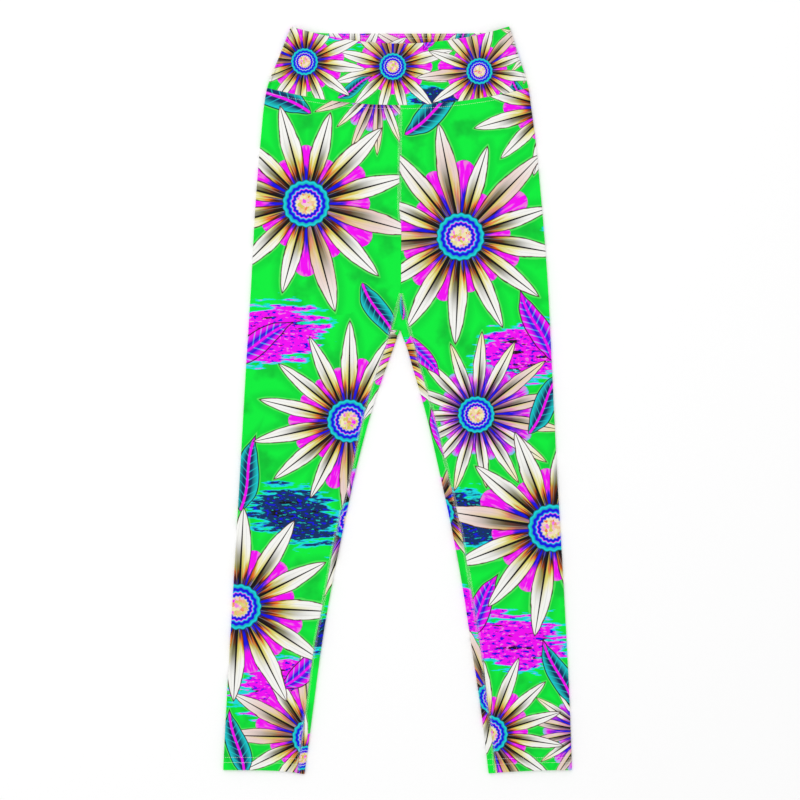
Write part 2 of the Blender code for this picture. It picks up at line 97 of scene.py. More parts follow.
# Centre seams and the gusset between them. The front one leans, and steps aside where a soft fold starts.
# That fold hides its threads from there down
CENTRE_X = 4.4
APEX_FRONT_Y = 136.5
APEX_BACK_Y = 138.0
APEX_FRONT = np.array((CENTRE_X, APEX_FRONT_Y))
APEX_BACK = np.array((CENTRE_X, APEX_BACK_Y))
FRONT_SEAM_Y = (APEX_FRONT_Y, 221.0, 243.0, WAIST_SEAM_Y)
FRONT_SEAM_X = (CENTRE_X, 4.9, 2.1, 3.6)
SEAM_HIDDEN_BELOW = 226.0
APEX_CUT = 0.02
CROTCH_X = 3.4
CROTCH_Y = 88.9
CROTCH_RADIUS = 0.9
CROTCH_ARC = (158.0, 17.0)
FAN_REACH = 46.0
FAN_SPREAD = 3.0

# Outline of the outer sides and half the height of the folded garment
SIDE_COLUMNS = ("y", "right", "left", "half_height")
SIDES = (
    (475.2, -135.5, 142, 3),
    (436.1, -150.7, 154.6, 3),
    (397.1, -165.7, 166.4, 2.6),
    (375.3, -169.5, 169.5, 2.45),
    (337.2, -173.4, 174.6, 2.25),
    (261, -179.7, 182.2, 2.15),
    (146.7, -186.1, 191.1, 2.15),
    (45.1, -192.4, 196.2, 2.1),
    (-88.3, -200, 202.6, 2),
    (-240.7, -208.9, 211.5, 1.95),
    (-393.1, -217.8, 219.1, 1.9),
    (-480, -222.2, 222.2, 1.9),
)

# Outline of the inner sides, and how far in from it the inseam lies
INNER_COLUMNS = ("y", "right", "right_strip", "left", "left_strip")
INNER = (
    (88.3, 2.57, 8.6, 4.26, 9.4),
    (81.9, 0, 8.6, 6.2, 9.4),
    (72.5, -3.1, 9.2, 10.2, 9.3),
    (45.1, -13.3, 10, 18.4, 9.3),
    (-12.1, -32.4, 8.4, 34.9, 9.9),
    (-88.3, -52.7, 5.1, 52.7, 10.4),
    (-164.5, -69.2, 8, 69.2, 11.4),
    (-240.7, -84.5, 6.8, 83.2, 10.4),
    (-316.9, -97.2, 9.1, 94.6, 11),
    (-393.1, -107.3, 9.4, 106, 9.8),
    (-480, -118.9, 9.5, 116.5, 8.9),
)

# Widest corners of the gusset on the upper layer, and how high its edges pass round the inner folds
GUSSET_CORNERS = {"right": (-8.5, 90.2), "left": (17.1, 83.2)}
GUSSET_KNOTS_Y = {"right": 81.9, "left": 72.5}

# Soft folds of the upper layer
CREASE_COLUMNS = ("x", "y", "direction", "length", "width", "height")
UPPER_CREASES = (
    (-52, 128, 152, 105, 20, 0.8),
    (66, 118, 24, 120, 22, 0.7),
    (-66, 205, 118, 130, 30, 0.5),
    (84, 250, 70, 150, 32, 0.5),
    (-122, 40, 94, 260, 38, 0.6),
    (128, 10, 85, 280, 42, 0.7),
    (-128, -140, 14, 90, 20, 0.5),
    (-140, -188, -9, 84, 18, -0.4),
    (134, -168, -13, 96, 22, 0.5),
    (-158, -330, 84, 220, 28, 0.5),
    (164, -345, 97, 230, 30, 0.5),
    (-30, 102, 164, 52, 6, 0.32),
    (-38, 86, 172, 44, 5, -0.25),
    (44, 98, 15, 56, 7, 0.3),
    (48, 74, 4, 40, 5, -0.22),
    (-24, 158, 128, 48, 6, 0.24),
    (36, 166, 52, 46, 7, 0.26),
    (-150, -112, 20, 62, 7, 0.3),
    (-118, -164, 4, 70, 8, -0.28),
    (-104, -210, -14, 48, 7, 0.24),
    (150, -128, -18, 58, 7, 0.28),
    (120, -196, -6, 74, 9, -0.26),
    (100, -142, 10, 40, 6, 0.22),
    (-176, -424, 30, 46, 7, 0.22),
    (-138, -404, -22, 40, 6, 0.2),
    (176, -418, -26, 50, 7, 0.24),
    (138, -392, 18, 42, 6, -0.2),
    (-104, 348, 80, 60, 9, 0.25),
    (-20, 352, 96, 52, 8, -0.2),
    (58, 344, 86, 66, 9, 0.22),
    (124, 350, 101, 56, 8, 0.24),
)

# Soft folds of the lower layer, which lift it off the surface
LOWER_CREASES = (
    (-60, 118, 158, 90, 12, 0.8),
    (70, 110, 18, 100, 13, 0.7),
    (-40, 176, 124, 70, 9, 0.5),
    (52, 190, 60, 74, 10, 0.5),
    (-84, 262, 100, 150, 16, 0.6),
    (98, 300, 78, 130, 15, 0.6),
    (-116, 20, 88, 210, 18, 0.7),
    (120, -10, 94, 230, 19, 0.7),
    (-122, -148, 11, 92, 10, 0.7),
    (-150, -196, -12, 70, 9, 0.5),
    (130, -156, -10, 98, 11, 0.7),
    (154, -204, 16, 66, 8, 0.5),
    (-150, -322, 82, 180, 14, 0.6),
    (158, -338, 99, 190, 15, 0.6),
    (-160, -428, 24, 52, 8, 0.4),
    (168, -424, -20, 56, 8, 0.4),
)
CREASE_CLEAR = 22.0

# Cells of the cloth
OUTLINE_STEPS = 300
OUTLINE_PAST_HEM = 8.0
CROTCH_ARC_POINTS = 7
CROTCH_ROW_POINTS = {"right": 6, "arc": 7, "left": 8}
TOP_CELLS = 38
BOTTOM_CELLS = 42
STRIP_CELLS = 3
ROW_STEP = 4.6
TIP_ROWS = 9
GUSSET_ROWS = 26
GUSSET_ROW_POWER = 1.8
TAIL_AT_KNOT = 3.0
TAIL_AT_APEX = 26.0
TAIL_AT_WAIST = 70.0
FOLD_ANGLES = (67.5, 45.0, 22.5, 0.0, -22.5, -45.0, -67.5)
FRONT_EDGE_AT_KNOT = 0.12
GUSSET_CORNER_ROW = 0.8
GUSSET_POINTS = {"above_corner": 20, "below_corner": 12}
PLACES_AT_ONCE = 2000

RIGHT = {"name": "leg_right", "side": "right", "out": -1}
LEFT = {"name": "leg_left", "side": "left", "out": 1}


# Form of the garment -------------------------------------------------------------------------


def column(table, names, name):
    return np.array([row[names.index(name)] for row in table], float)


def curve_through(knots, values, at):
    """Smooth curve through the rows of a table whose knots fall from row to row."""
    knots, values = knots[::-1], values[::-1]
    slopes = np.gradient(values, knots)
    at = np.clip(at, knots[0], knots[-1])
    i = np.clip(np.searchsorted(knots, at) - 1, 0, len(knots) - 2)
    step = knots[i + 1] - knots[i]
    t = (at - knots[i]) / step
    start = (1 + 2 * t) * (1 - t) ** 2 * values[i] + t * (1 - t) ** 2 * step * slopes[i]
    end = t * t * (3 - 2 * t) * values[i + 1] - t * t * (1 - t) * step * slopes[i + 1]
    return start + end


def table_curve(table, names, name, y):
    return curve_through(column(table, names, "y"), column(table, names, name), y)


def side_x(side, y):
    return table_curve(SIDES, SIDE_COLUMNS, side, y)


def half_height(y):
    return table_curve(SIDES, SIDE_COLUMNS, "half_height", y)


def inner_x(side, y):
    return table_curve(INNER, INNER_COLUMNS, side, y)


def inseam_x(leg, y):
    strip = inner_x(leg["side"] + "_strip", y)
    return inner_x(leg["side"], y) + leg["out"] * strip


def crotch_arc(count):
    """Points inside the round top of the opening between the legs."""
    angles = np.radians(np.linspace(CROTCH_ARC[0], CROTCH_ARC[1], count + 2)[1:-1])
    middle_y = CROTCH_Y - CROTCH_RADIUS
    return [(CROTCH_X + CROTCH_RADIUS * np.cos(a), middle_y + CROTCH_RADIUS * np.sin(a)) for a in angles]


def outline():
    """Polylines of the garment's folds in plan, each with the open surface on its right hand."""
    end = HEM_Y - OUTLINE_PAST_HEM
    down = np.linspace(WAIST_TOP_Y, end, OUTLINE_STEPS)
    right_side = [(side_x("right", y), y) for y in down]
    left_side = [(side_x("left", y), y) for y in down[::-1]]
    legs_y = np.append(np.linspace(end, GUSSET_KNOTS_Y["left"], OUTLINE_STEPS), INNER[0][0])
    up = [(inner_x("right", y), y) for y in legs_y]
    back_down = [(inner_x("left", y), y) for y in legs_y[::-1]]
    inner = up + crotch_arc(CROTCH_ARC_POINTS) + back_down
    return [np.array(line) for line in (right_side, left_side, inner)]


def fold_segments(lines):
    """Start, end, and the outward direction at both ends of every segment of the outline."""
    starts, ends, start_out, end_out = [], [], [], []
    for line in lines:
        step = np.diff(line, axis=0)
        normal = np.stack([step[:, 1], -step[:, 0]], axis=1)
        normal /= np.linalg.norm(normal, axis=1, keepdims=True)
        corner = np.vstack([normal[:1], normal[:-1] + normal[1:], normal[-1:]])
        corner /= np.linalg.norm(corner, axis=1, keepdims=True)
        starts.append(line[:-1])
        ends.append(line[1:])
        start_out.append(corner[:-1])
        end_out.append(corner[1:])
    return [np.vstack(part) for part in (starts, ends, start_out, end_out)]


SEGMENTS = fold_segments(outline())


def fold_near(plan):
    starts, ends, start_out, end_out = SEGMENTS
    step = ends - starts
    offset = plan[:, None, :] - starts[None]
    t = np.clip((offset * step).sum(2) / (step * step).sum(1), 0, 1)
    away = np.linalg.norm(offset - t[..., None] * step, axis=2)
    nearest = away.argmin(axis=1)
    rows = np.arange(len(plan))
    t = t[rows, nearest, None]
    out = (1 - t) * start_out[nearest] + t * end_out[nearest]
    return away[rows, nearest], out / np.linalg.norm(out, axis=1, keepdims=True)


def fold_at(plan):
    """Distance of each plan point to the nearest fold, and the direction out of the garment there."""
    parts = [fold_near(plan[k : k + PLACES_AT_ONCE]) for k in range(0, len(plan), PLACES_AT_ONCE)]
    return np.concatenate([part[0] for part in parts]), np.vstack([part[1] for part in parts])


def run_along(points):
    """Distance along a line of points to each of them."""
    return np.concatenate([[0], np.cumsum(np.linalg.norm(np.diff(points, axis=0), axis=1))])


def at_runs(run, values, at):
    """Rows of values at given distances along a line."""
    return np.column_stack([np.interp(at, run, values[:, k]) for k in range(values.shape[1])])


def smooth_step(t):
    t = np.clip(t, 0, 1)
    return t * t * (3 - 2 * t)


def creases(table, plan, clear):
    """Height that the soft folds of a table add to the cloth, fading out towards the outline."""
    height = np.zeros(len(plan))
    for row in table:
        crease = dict(zip(CREASE_COLUMNS, row, strict=True))
        angle = np.radians(crease["direction"])
        dx, dy = plan[:, 0] - crease["x"], plan[:, 1] - crease["y"]
        along = (dx * np.cos(angle) + dy * np.sin(angle)) / (crease["length"] / 2)
        across = (dy * np.cos(angle) - dx * np.sin(angle)) / crease["width"]
        height += crease["height"] * np.exp(-(across**2) - along**2)
    return height * smooth_step(clear / CREASE_CLEAR)


def cloth_points(places, offsets, half, cloth=CLOTH):
    """Points at the given offsets from the middle of the wall, for places (x, y, side)."""
    plan, side = places[:, :2], places[:, 2]
    away, out = fold_at(plan)
    middle = half - cloth / 2
    reach = np.clip(half - away, 0, middle)
    rise = np.sqrt(middle**2 - reach**2)
    points = np.empty((len(places), 3))
    points[:, :2] = plan + out * (offsets * reach / middle)[:, None]
    points[:, 2] = half + side * rise * (1 + offsets / middle)
    clear = away - half
    lower = np.maximum(creases(LOWER_CREASES, plan, clear), 0)
    points[:, 2] += np.where(side > 0, creases(UPPER_CREASES, plan, clear), lower)
    return points


# Lines round a leg ---------------------------------------------------------------------------


def between(start, end, count):
    """Points from start to end, in equal steps."""
    start, end = np.array(start, float), np.array(end, float)
    return [start + (end - start) * k / count for k in range(count + 1)]


def towards(start, end, distance):
    start, end = np.array(start, float), np.array(end, float)
    return start + (end - start) * distance / np.linalg.norm(end - start)


def edge_run(edge, far, cells):
    """Points from a sewn edge to a far point, close together at the edge and then in equal steps."""
    length = np.linalg.norm(np.subtract(far, edge))
    insets = np.array(EDGE_INSETS) * min(1.0, INSETS_SHARE * length / EDGE_INSETS[-1])
    distances = np.concatenate([insets, np.linspace(insets[-1], length, cells + 1)[1:]])
    return [towards(edge, far, d) for d in distances], distances


def fold_places(edge, before, after, half, first_side):
    """Places round a fold: edge is its outline point, before and after the line's next points."""
    middle = half - CLOTH / 2
    places = []
    for angle in FOLD_ANGLES:
        inset = half - middle * np.cos(np.radians(angle))
        point = towards(edge, before if angle >= 0 else after, inset)
        places.append((*point, first_side if angle >= 0 else -first_side))
    return places


def waist_drop(x, dip):
    """How far the seam under the band lies below its ends, at x."""
    right, left = side_x("right", WAIST_SEAM_Y), side_x("left", WAIST_SEAM_Y)
    s = np.clip(np.abs(2 * x - left - right) / (left - right), 0, 1)
    return dip * (1 - s**SEAM_DIP_POWER)


def hem_drop(plan, leg, level):
    """Plan points of a line at this level of a leg, moved down along the leg as the hem falls."""
    side, y = leg["side"], plan[:, 1]
    near = np.clip(1 - (level - HEM_Y) / HEM_CURVE_REACH, 0, 1) ** 2
    share = (plan[:, 0] - side_x(side, y)) / (inner_x(side, y) - side_x(side, y))
    power = HEM_FALL_POWERS[side]
    y = y - near * HEM_FALLS[side] * np.clip(share, 0, 1) ** power
    return np.column_stack([side_x(side, y) * (1 - share) + inner_x(side, y) * share, y])


def on_fold(outline_points):
    """Middle of the cloth where it passes round a fold at the given points of the outline."""
    points = np.array(outline_points, float).reshape(-1, 2)
    return points - fold_at(points)[1] * CLOTH / 2


def knot_point(side, lift=0.0):
    """Middle of the cloth where the gusset's lower edge passes round a leg's inner fold."""
    y = GUSSET_KNOTS_Y[side] + lift
    return on_fold((inner_x(side, y), y))[0]


def low_line(leg, level):
    """Line round the leg below the gusset's corner."""
    side, corner = leg["side"], GUSSET_CORNERS[leg["side"]]
    fan = smooth_step((level - FAN_REACH) / (corner[1] - FAN_REACH))
    inner_y = level - fan * (corner[1] - GUSSET_KNOTS_Y[side] + FAN_SPREAD)
    seam = np.array([inseam_x(leg, level) + fan * (corner[0] - inseam_x(leg, corner[1])), level])
    inner = (inner_x(side, inner_y), inner_y)
    return {
        "outer": (side_x(side, level), level),
        "front": seam,
        "inner": inner,
        "back": seam,
        "level": level,
    }


def tip_line(leg, share):
    """Line past the corner, whose back edge follows the gusset down to the inner fold."""
    side, corner = leg["side"], np.array(GUSSET_CORNERS[leg["side"]])
    inner_y = GUSSET_KNOTS_Y[side] - FAN_SPREAD * (1 - share)
    front = corner + (APEX_FRONT - corner) * share * FRONT_EDGE_AT_KNOT
    return {
        "outer": (side_x(side, front[1]), front[1]),
        "front": front,
        "inner": (inner_x(side, inner_y), inner_y),
        "back": corner + (knot_point(side) - corner) * share,
        "level": front[1],
    }


def gusset_line(leg, share):
    """Line between the inner fold and the gusset's apexes. It has no inner fold."""
    side, corner = leg["side"], np.array(GUSSET_CORNERS[leg["side"]])
    knot = knot_point(side, -SEAM_GAP if share == 0 else 0)
    front = corner + (APEX_FRONT - corner) * (FRONT_EDGE_AT_KNOT + (1 - FRONT_EDGE_AT_KNOT) * share)
    level = front[1] + (APEX_BACK_Y - APEX_FRONT_Y) * share
    return {
        "outer": (side_x(side, level), level),
        "front": front,
        "inner": None,
        "back": knot + (APEX_BACK - knot) * share,
        "level": level,
        "tail": TAIL_AT_KNOT + (TAIL_AT_APEX - TAIL_AT_KNOT) * share,
    }


def hip_line(leg, level):
    """Line between the gusset's apexes and the seam under the waistband."""
    share = (level - APEX_BACK_Y) / (LEG_TOP - APEX_BACK_Y)
    return {
        "outer": (side_x(leg["side"], level), level),
        "front": np.array((np.interp(level, FRONT_SEAM_Y, FRONT_SEAM_X), level)),
        "inner": None,
        "back": np.array((CENTRE_X, level)),
        "level": level,
        "tail": TAIL_AT_APEX + (TAIL_AT_WAIST - TAIL_AT_APEX) * share,
        "curve": np.clip(1 - (LEG_TOP - level) / WAIST_CURVE_REACH, 0, 1) ** 2,
    }


def hem_rows():
    """Height above the hem and offset in the wall of both skins' rows, from the cut edge round the fold.

    The last value is the number of the first row past the fold.
    """
    printed = [(h, HEM_INSIDE) for h in HEM_CELLS_INSIDE]
    reverse = [(h, HEM_INSIDE + KNIT) for h in HEM_CELLS_INSIDE]
    middle = OUTSIDE - HEM_ROLL
    core = HEM_ROLL - KNIT
    for angle in np.radians(HEM_FOLD_ANGLES):
        printed.append((HEM_ROLL * (1 - np.cos(angle)), middle + HEM_ROLL * np.sin(angle)))
        reverse.append((HEM_ROLL - core * np.cos(angle), middle + core * np.sin(angle)))
    fold = len(printed)
    printed += [(h, OUTSIDE) for h in HEM_CELLS_OUTSIDE]
    reverse += [(h, OUTSIDE - KNIT) for h in HEM_CELLS_OUTSIDE]
    return np.array(printed), np.array(reverse), fold


def leg_lines(leg, hem_heights):
    """Lines round the leg from the turned edge of its hem to the waist, for one skin of the cloth."""
    corner_y = GUSSET_CORNERS[leg["side"]][1]
    start = HEM_Y + hem_heights[-1]
    count = int(round((corner_y - start) / ROW_STEP))
    lines = [low_line(leg, HEM_Y + h) for h in hem_heights]
    lines += [low_line(leg, level) for level in np.linspace(start, corner_y, count + 1)[1:]]
    lines += [tip_line(leg, share) for share in np.linspace(0, 1, TIP_ROWS + 1)[1:-1]]
    lines += [gusset_line(leg, share) for share in np.linspace(0, 1, GUSSET_ROWS) ** GUSSET_ROW_POWER]
    beside = (-BESIDE_TOPSTITCH, 0.0, BESIDE_TOPSTITCH)
    insets = (*EDGE_INSETS, *(WAIST_TOPSTITCH + step for step in beside))
    last = LEG_TOP - insets[-1] - ROW_STEP
    count = int(round((last - APEX_BACK_Y) / ROW_STEP))
    lines += [hip_line(leg, level) for level in np.linspace(APEX_BACK_Y, last, count + 1)[1:]]
    lines += [hip_line(leg, LEG_TOP - inset) for inset in insets[::-1]]
    return lines


def line_places(line, leg):
    """(x, y, side) of each column on one line round a leg, and each one's distance to a sewn edge."""
    half = half_height(line["level"])
    shift = np.array([leg["out"] * HALF_GAP, 0.0])
    outer, front, back = line["outer"], line["front"] + shift, line["back"]
    inner = line["inner"]
    back = back - shift if inner is not None else back + shift
    upper, upper_away = edge_run(front, towards(outer, front, half), TOP_CELLS)
    places = [(*p, 1) for p in upper]
    turn = inner if inner is not None else back
    places += fold_places(outer, front, turn, half, 1)
    start = towards(outer, turn, half)
    if inner is not None:
        end = towards(inner, outer, half)
        places += [(*p, -1) for p in between(start, end, BOTTOM_CELLS)]
        places += fold_places(inner, outer, back, half, -1)
        strip, strip_away = edge_run(back, towards(inner, back, half), STRIP_CELLS)
        places += [(*p, 1) for p in strip[::-1]]
    else:
        end = towards(back, outer, line["tail"])
        places += [(*p, -1) for p in between(start, end, BOTTOM_CELLS)]
        strip, strip_away = edge_run(back, end, STRIP_CELLS + len(FOLD_ANGLES) + 1)
        strip, strip_away = strip[:-1], strip_away[:-1]
        places += [(*p, -1) for p in strip[::-1]]
    away = np.full(len(places), np.inf)
    away[: len(upper)] = upper_away
    away[-len(strip) :] = strip_away[::-1]
    places = np.array(places, float)
    if line["level"] < HEM_Y + HEM_CURVE_REACH:
        places[:, :2] = hem_drop(places[:, :2], leg, line["level"])
    dip = np.where(places[:, 2] > 0, FRONT_DIP, BACK_DIP)
    places[:, 1] -= line.get("curve", 0.0) * waist_drop(places[:, 0], dip)
    return places, away


def edge_roll(away):
    """How far the cloth rolls in, by the distance to its edge."""
    return EDGE_ROLL * np.exp(-((away / EDGE_ROLL_WIDTH) ** 2))


def edge_sink(away, side):
    """How far the cloth sinks by a sewn edge. The flat seam lifts the top there and dents the underside."""
    start, end = FLAT_SEAM
    fade = FLAT_SEAM_FADE
    seam = smooth_step((away - start + fade / 2) / fade) * smooth_step((end + fade / 2 - away) / fade)
    return edge_roll(away) + seam * np.where(side > 0, -FLAT_SEAM_RISE, FLAT_SEAM_DENT)


def groove(distances, rows):
    """How far rows of stitches pull the cloth in, at distances measured as the rows' are."""
    away = np.abs(np.subtract.outer(distances, rows)).min(axis=-1)
    return GROOVE_DEPTH * np.exp(-((away / GROOVE_WIDTH) ** 2))


# Meshes --------------------------------------------------------------------------------------


def new_piece(name, points, faces, materials, face_slots=None):
    """Mesh object from points in millimetres."""
    data = bpy.data.meshes.new(name)
    data.from_pydata((np.asarray(points) * MM).tolist(), [], [list(map(int, f)) for f in faces])
    for material in materials:
        data.materials.append(material)
    if face_slots is not None:
        data.polygons.foreach_set("material_index", np.asarray(face_slots, np.int32))
    data.shade_smooth()
    item = bpy.data.objects.new(name, data)
    bpy.context.scene.collection.objects.link(item)
    return item


def grid_faces(rows, columns, start, flip):
    """Four-sided faces of a grid of points that starts at a given index."""
    index = start + np.arange(rows * columns).reshape(rows, columns)
    corners = [index[:-1, :-1], index[:-1, 1:], index[1:, 1:], index[1:, :-1]]
    faces = np.stack([c.ravel() for c in corners], axis=1)
    return faces[:, ::-1] if flip else faces


def rim_faces(rows, columns, flip):
    """Faces that join the edges of two grids, the second one following the first."""
    rim = [(0, c) for c in range(columns)]
    rim += [(r, columns - 1) for r in range(1, rows)]
    rim += [(rows - 1, c) for c in range(columns - 2, -1, -1)]
    rim += [(r, 0) for r in range(rows - 2, 0, -1)]
    ring = np.array([r * columns + c for r, c in rim])
    after, second = np.roll(ring, -1), rows * columns
    faces = np.stack([after, ring, ring + second, after + second], axis=1)
    return faces[:, ::-1] if flip else faces


PRINT_SLOT, REVERSE_SLOT = 0, 1
MOTIF_COLUMNS = ("x", "y", "length", "width", "turn", "tone")
PRINTED_SHARE = 0.915
HALF_SHARE = 0.495
BAKE_MARGIN = 0.005
RIM_IN_MARGIN = (0.3, 0.7)


def motif_places(motifs, flat, faces):
    """For each corner of each face, its place in the motif nearest to the face, and that motif's tone.

    The place runs from -1 to 1 along the motif's length and across its width. flat holds the points of the
    cloth laid out flat.
    """
    table = {name: column(motifs, MOTIF_COLUMNS, name) for name in MOTIF_COLUMNS}
    turn = np.radians(table["turn"])

    def place_in(points, pick):
        offset = points - np.stack([table["x"], table["y"]], axis=-1)[pick]
        along = offset[..., 0] * np.cos(turn[pick]) + offset[..., 1] * np.sin(turn[pick])
        across = offset[..., 1] * np.cos(turn[pick]) - offset[..., 0] * np.sin(turn[pick])
        return along / table["length"][pick], across / table["width"][pick]

    middles = flat[faces].mean(axis=1)
    every = np.arange(len(motifs))
    nearest = np.hypot(*place_in(middles[:, None], every[None])).argmin(axis=1)
    along, across = place_in(flat[faces], nearest[:, None])
    tone = np.broadcast_to(table["tone"][nearest][:, None], along.shape)
    return np.stack([along, across, tone], axis=-1)


def lay_print(piece, flat, faces, layers):
    """Gives a piece its print: each point's place on the flat cloth, and each corner's in the motifs."""

    def lay(name, domain, vectors):
        layer = piece.data.attributes.new(name, "FLOAT_VECTOR", domain)
        layer.data.foreach_set("vector", vectors.astype(np.float32).ravel())

    lay("flat_cloth", "POINT", np.column_stack([flat, np.zeros(len(flat))]))
    for name, motifs in layers.items():
        lay(name, "CORNER", motif_places(motifs, flat, faces))


def lay_map(piece, places):
    """Map for baked pictures of the piece, from the place of each face's corners in the unit square."""
    layer = piece.data.uv_layers.new(name="OFBake")
    layer.uv.foreach_set("vector", np.asarray(places, np.float32).ravel())


def cloth_map(flat, faces, ring, printed_share):
    """Places in the unit square: the printed skin's below, the rim's in a thin strip, the reverse's above."""
    across = run_along(flat.mean(axis=0))
    along = run_along(flat.mean(axis=1))
    u, v = np.meshgrid(across / across[-1], along / along[-1])
    plain = np.stack([u, v], axis=-1).reshape(-1, 2)
    top = printed_share + BAKE_MARGIN
    printed = plain * (1.0, printed_share)
    reverse = plain * (1.0, 1 - top) + (0.0, top)
    skins = np.vstack([printed, reverse])[faces[:-ring]]
    start = np.arange(ring) / ring
    low, high = [printed_share + share * BAKE_MARGIN for share in RIM_IN_MARGIN]
    corners = [(start + 1 / ring, low), (start, low), (start, high), (start + 1 / ring, high)]
    rim = np.stack([np.column_stack(np.broadcast_arrays(*corner)) for corner in corners], axis=1)
    return np.vstack([skins, rim])


def cloth_piece(name, printed, reverse, flat, layers, materials, flip=False, both_printed=False):
    """Thin cloth between a printed and a reverse skin, each a grid of points (rows, columns, 3).

    flat holds the same points on the cloth laid out flat (rows, columns, 2).
    """
    rows, columns = printed.shape[:2]
    faces = [
        grid_faces(rows, columns, 0, flip),
        grid_faces(rows, columns, rows * columns, not flip),
        rim_faces(rows, columns, flip),
    ]
    points = np.vstack([printed.reshape(-1, 3), reverse.reshape(-1, 3)])
    back_slot = PRINT_SLOT if both_printed else REVERSE_SLOT
    counts = [len(part) for part in faces]
    slots = np.repeat([PRINT_SLOT, back_slot, REVERSE_SLOT], counts)
    faces = np.vstack(faces)
    piece = new_piece(name, points, faces, materials, slots)
    flat = np.reshape(flat, (rows, columns, 2))
    lay_print(piece, np.tile(flat.reshape(-1, 2), (2, 1)), faces, layers)
    lay_map(piece, cloth_map(flat, faces, counts[-1], HALF_SHARE if both_printed else PRINTED_SHARE))
    return piece


def unrolled(leg, places, strip):
    """Points of a leg's cloth laid out flat in one plane with its front.

    The back is turned out round the outer side, and the strip beside the inseam round the inner side as well.
    """
    side = leg["side"]
    plan = places[..., :2].copy()
    plan[strip, 0] = 2 * inner_x(side, plan[strip, 1]) - plan[strip, 0]
    turned = strip | (places[..., 2] < 0)
    chord = np.array([side_x(side, HEM_Y) - side_x(side, WAIST_SEAM_Y), HEM_Y - WAIST_SEAM_Y])
    normal = np.array([chord[1], -chord[0]]) / np.linalg.norm(chord)
    beyond = (plan[..., 0] - side_x(side, plan[..., 1])) * normal[0]
    return plan - np.where(turned, 2 * beyond, 0.0)[..., None] * normal


def hem_unfold(hem, fold):
    """How far each row of the hem moves along the leg when the turned-up part is let down."""
    run = run_along(hem)
    let_down = hem[fold, 0] - hem[:, 0] - (run[fold] - run)
    return np.where(np.arange(len(hem)) < fold, let_down, 0.0)


def leg_skin(leg, hem, base, fold):
    """Lines round a leg for one skin of its cloth, and their places and points as grids."""
    lines = leg_lines(leg, hem[:, 0])
    grid = [line_places(line, leg) for line in lines]
    places, away = [np.stack(part) for part in zip(*grid, strict=True)]
    rows, columns = away.shape
    levels = np.array([line["level"] for line in lines])
    offsets = np.full((rows, columns), base)
    offsets[: len(hem)] = hem[:, 1:]
    sink = np.maximum(edge_sink(away, places[..., 2]), edge_roll(LEG_TOP - levels)[:, None])
    rows_at = (HEM_Y + HEM_ROWS[0], HEM_Y + HEM_ROWS[1], LEG_TOP - WAIST_TOPSTITCH)
    outside = np.arange(rows)[:, None] > fold
    offsets -= np.where(outside, sink + groove(levels, rows_at)[:, None], 0.0)
    half = np.repeat([half_height(level) for level in levels], columns)
    points = cloth_points(places.reshape(-1, 3), offsets.ravel(), half)
    return lines, places, points.reshape(rows, columns, 3)


def leg_laid_out(leg, lines, places, hem, fold):
    """Points of a leg's cloth laid out flat, with its hem let down."""
    strip = np.zeros(places.shape[:2], bool)
    beside_inseam = len(EDGE_INSETS) + STRIP_CELLS + sum(angle < 0 for angle in FOLD_ANGLES)
    strip[[line["inner"] is not None for line in lines], -beside_inseam:] = True
    flat = unrolled(leg, places, strip)
    flat[: len(hem), :, 1] += hem_unfold(hem, fold)[:, None]
    return flat


def make_leg(leg, layers, materials):
    printed_hem, reverse_hem, fold = hem_rows()
    lines, places, printed = leg_skin(leg, printed_hem, OUTSIDE, fold)
    reverse = leg_skin(leg, reverse_hem, OUTSIDE - KNIT, fold)[2]
    flat = leg_laid_out(leg, lines, places, printed_hem, fold)
    name = leg["name"] + "_cloth"
    return cloth_piece(name, printed, reverse, flat, layers, materials, flip=leg["out"] > 0)


def crotch_row():
    """Middle of the gusset's cloth along its lowest fold, from the right leg's inner side to the left's."""
    start, end = GUSSET_KNOTS_Y["right"] + SEAM_GAP, GUSSET_KNOTS_Y["left"] + SEAM_GAP
    count, top = CROTCH_ROW_POINTS, INNER[0][0]
    up = [(inner_x("right", y), y) for y in np.linspace(start, top, count["right"])]
    down = [(inner_x("left", y), y) for y in np.linspace(top, end, count["left"])]
    return on_fold(up + crotch_arc(count["arc"]) + down)


def off_the_leg(side):
    """Step from a leg's edge to the gusset's."""
    return np.array([HALF_GAP if side == "right" else -HALF_GAP, 0.0])


def gusset_rail(side, end, shares):
    """Edge of the gusset on the upper layer, from near its front apex round its corner to the inner fold."""
    corner, shift = np.array(GUSSET_CORNERS[side]), off_the_leg(side)
    start = APEX_FRONT + (corner - APEX_FRONT) * APEX_CUT + shift
    corner = corner + shift
    points = []
    for share in shares:
        if share <= GUSSET_CORNER_ROW:
            points.append(start + (corner - start) * share / GUSSET_CORNER_ROW)
        else:
            rest = (share - GUSSET_CORNER_ROW) / (1 - GUSSET_CORNER_ROW)
            points.append(corner + (end - corner) * rest)
    return np.array(points)


def gusset_back_end(side):
    """End of the gusset's edge on the lower layer, near its back apex."""
    return APEX_BACK + (knot_point(side) - APEX_BACK) * APEX_CUT + off_the_leg(side)


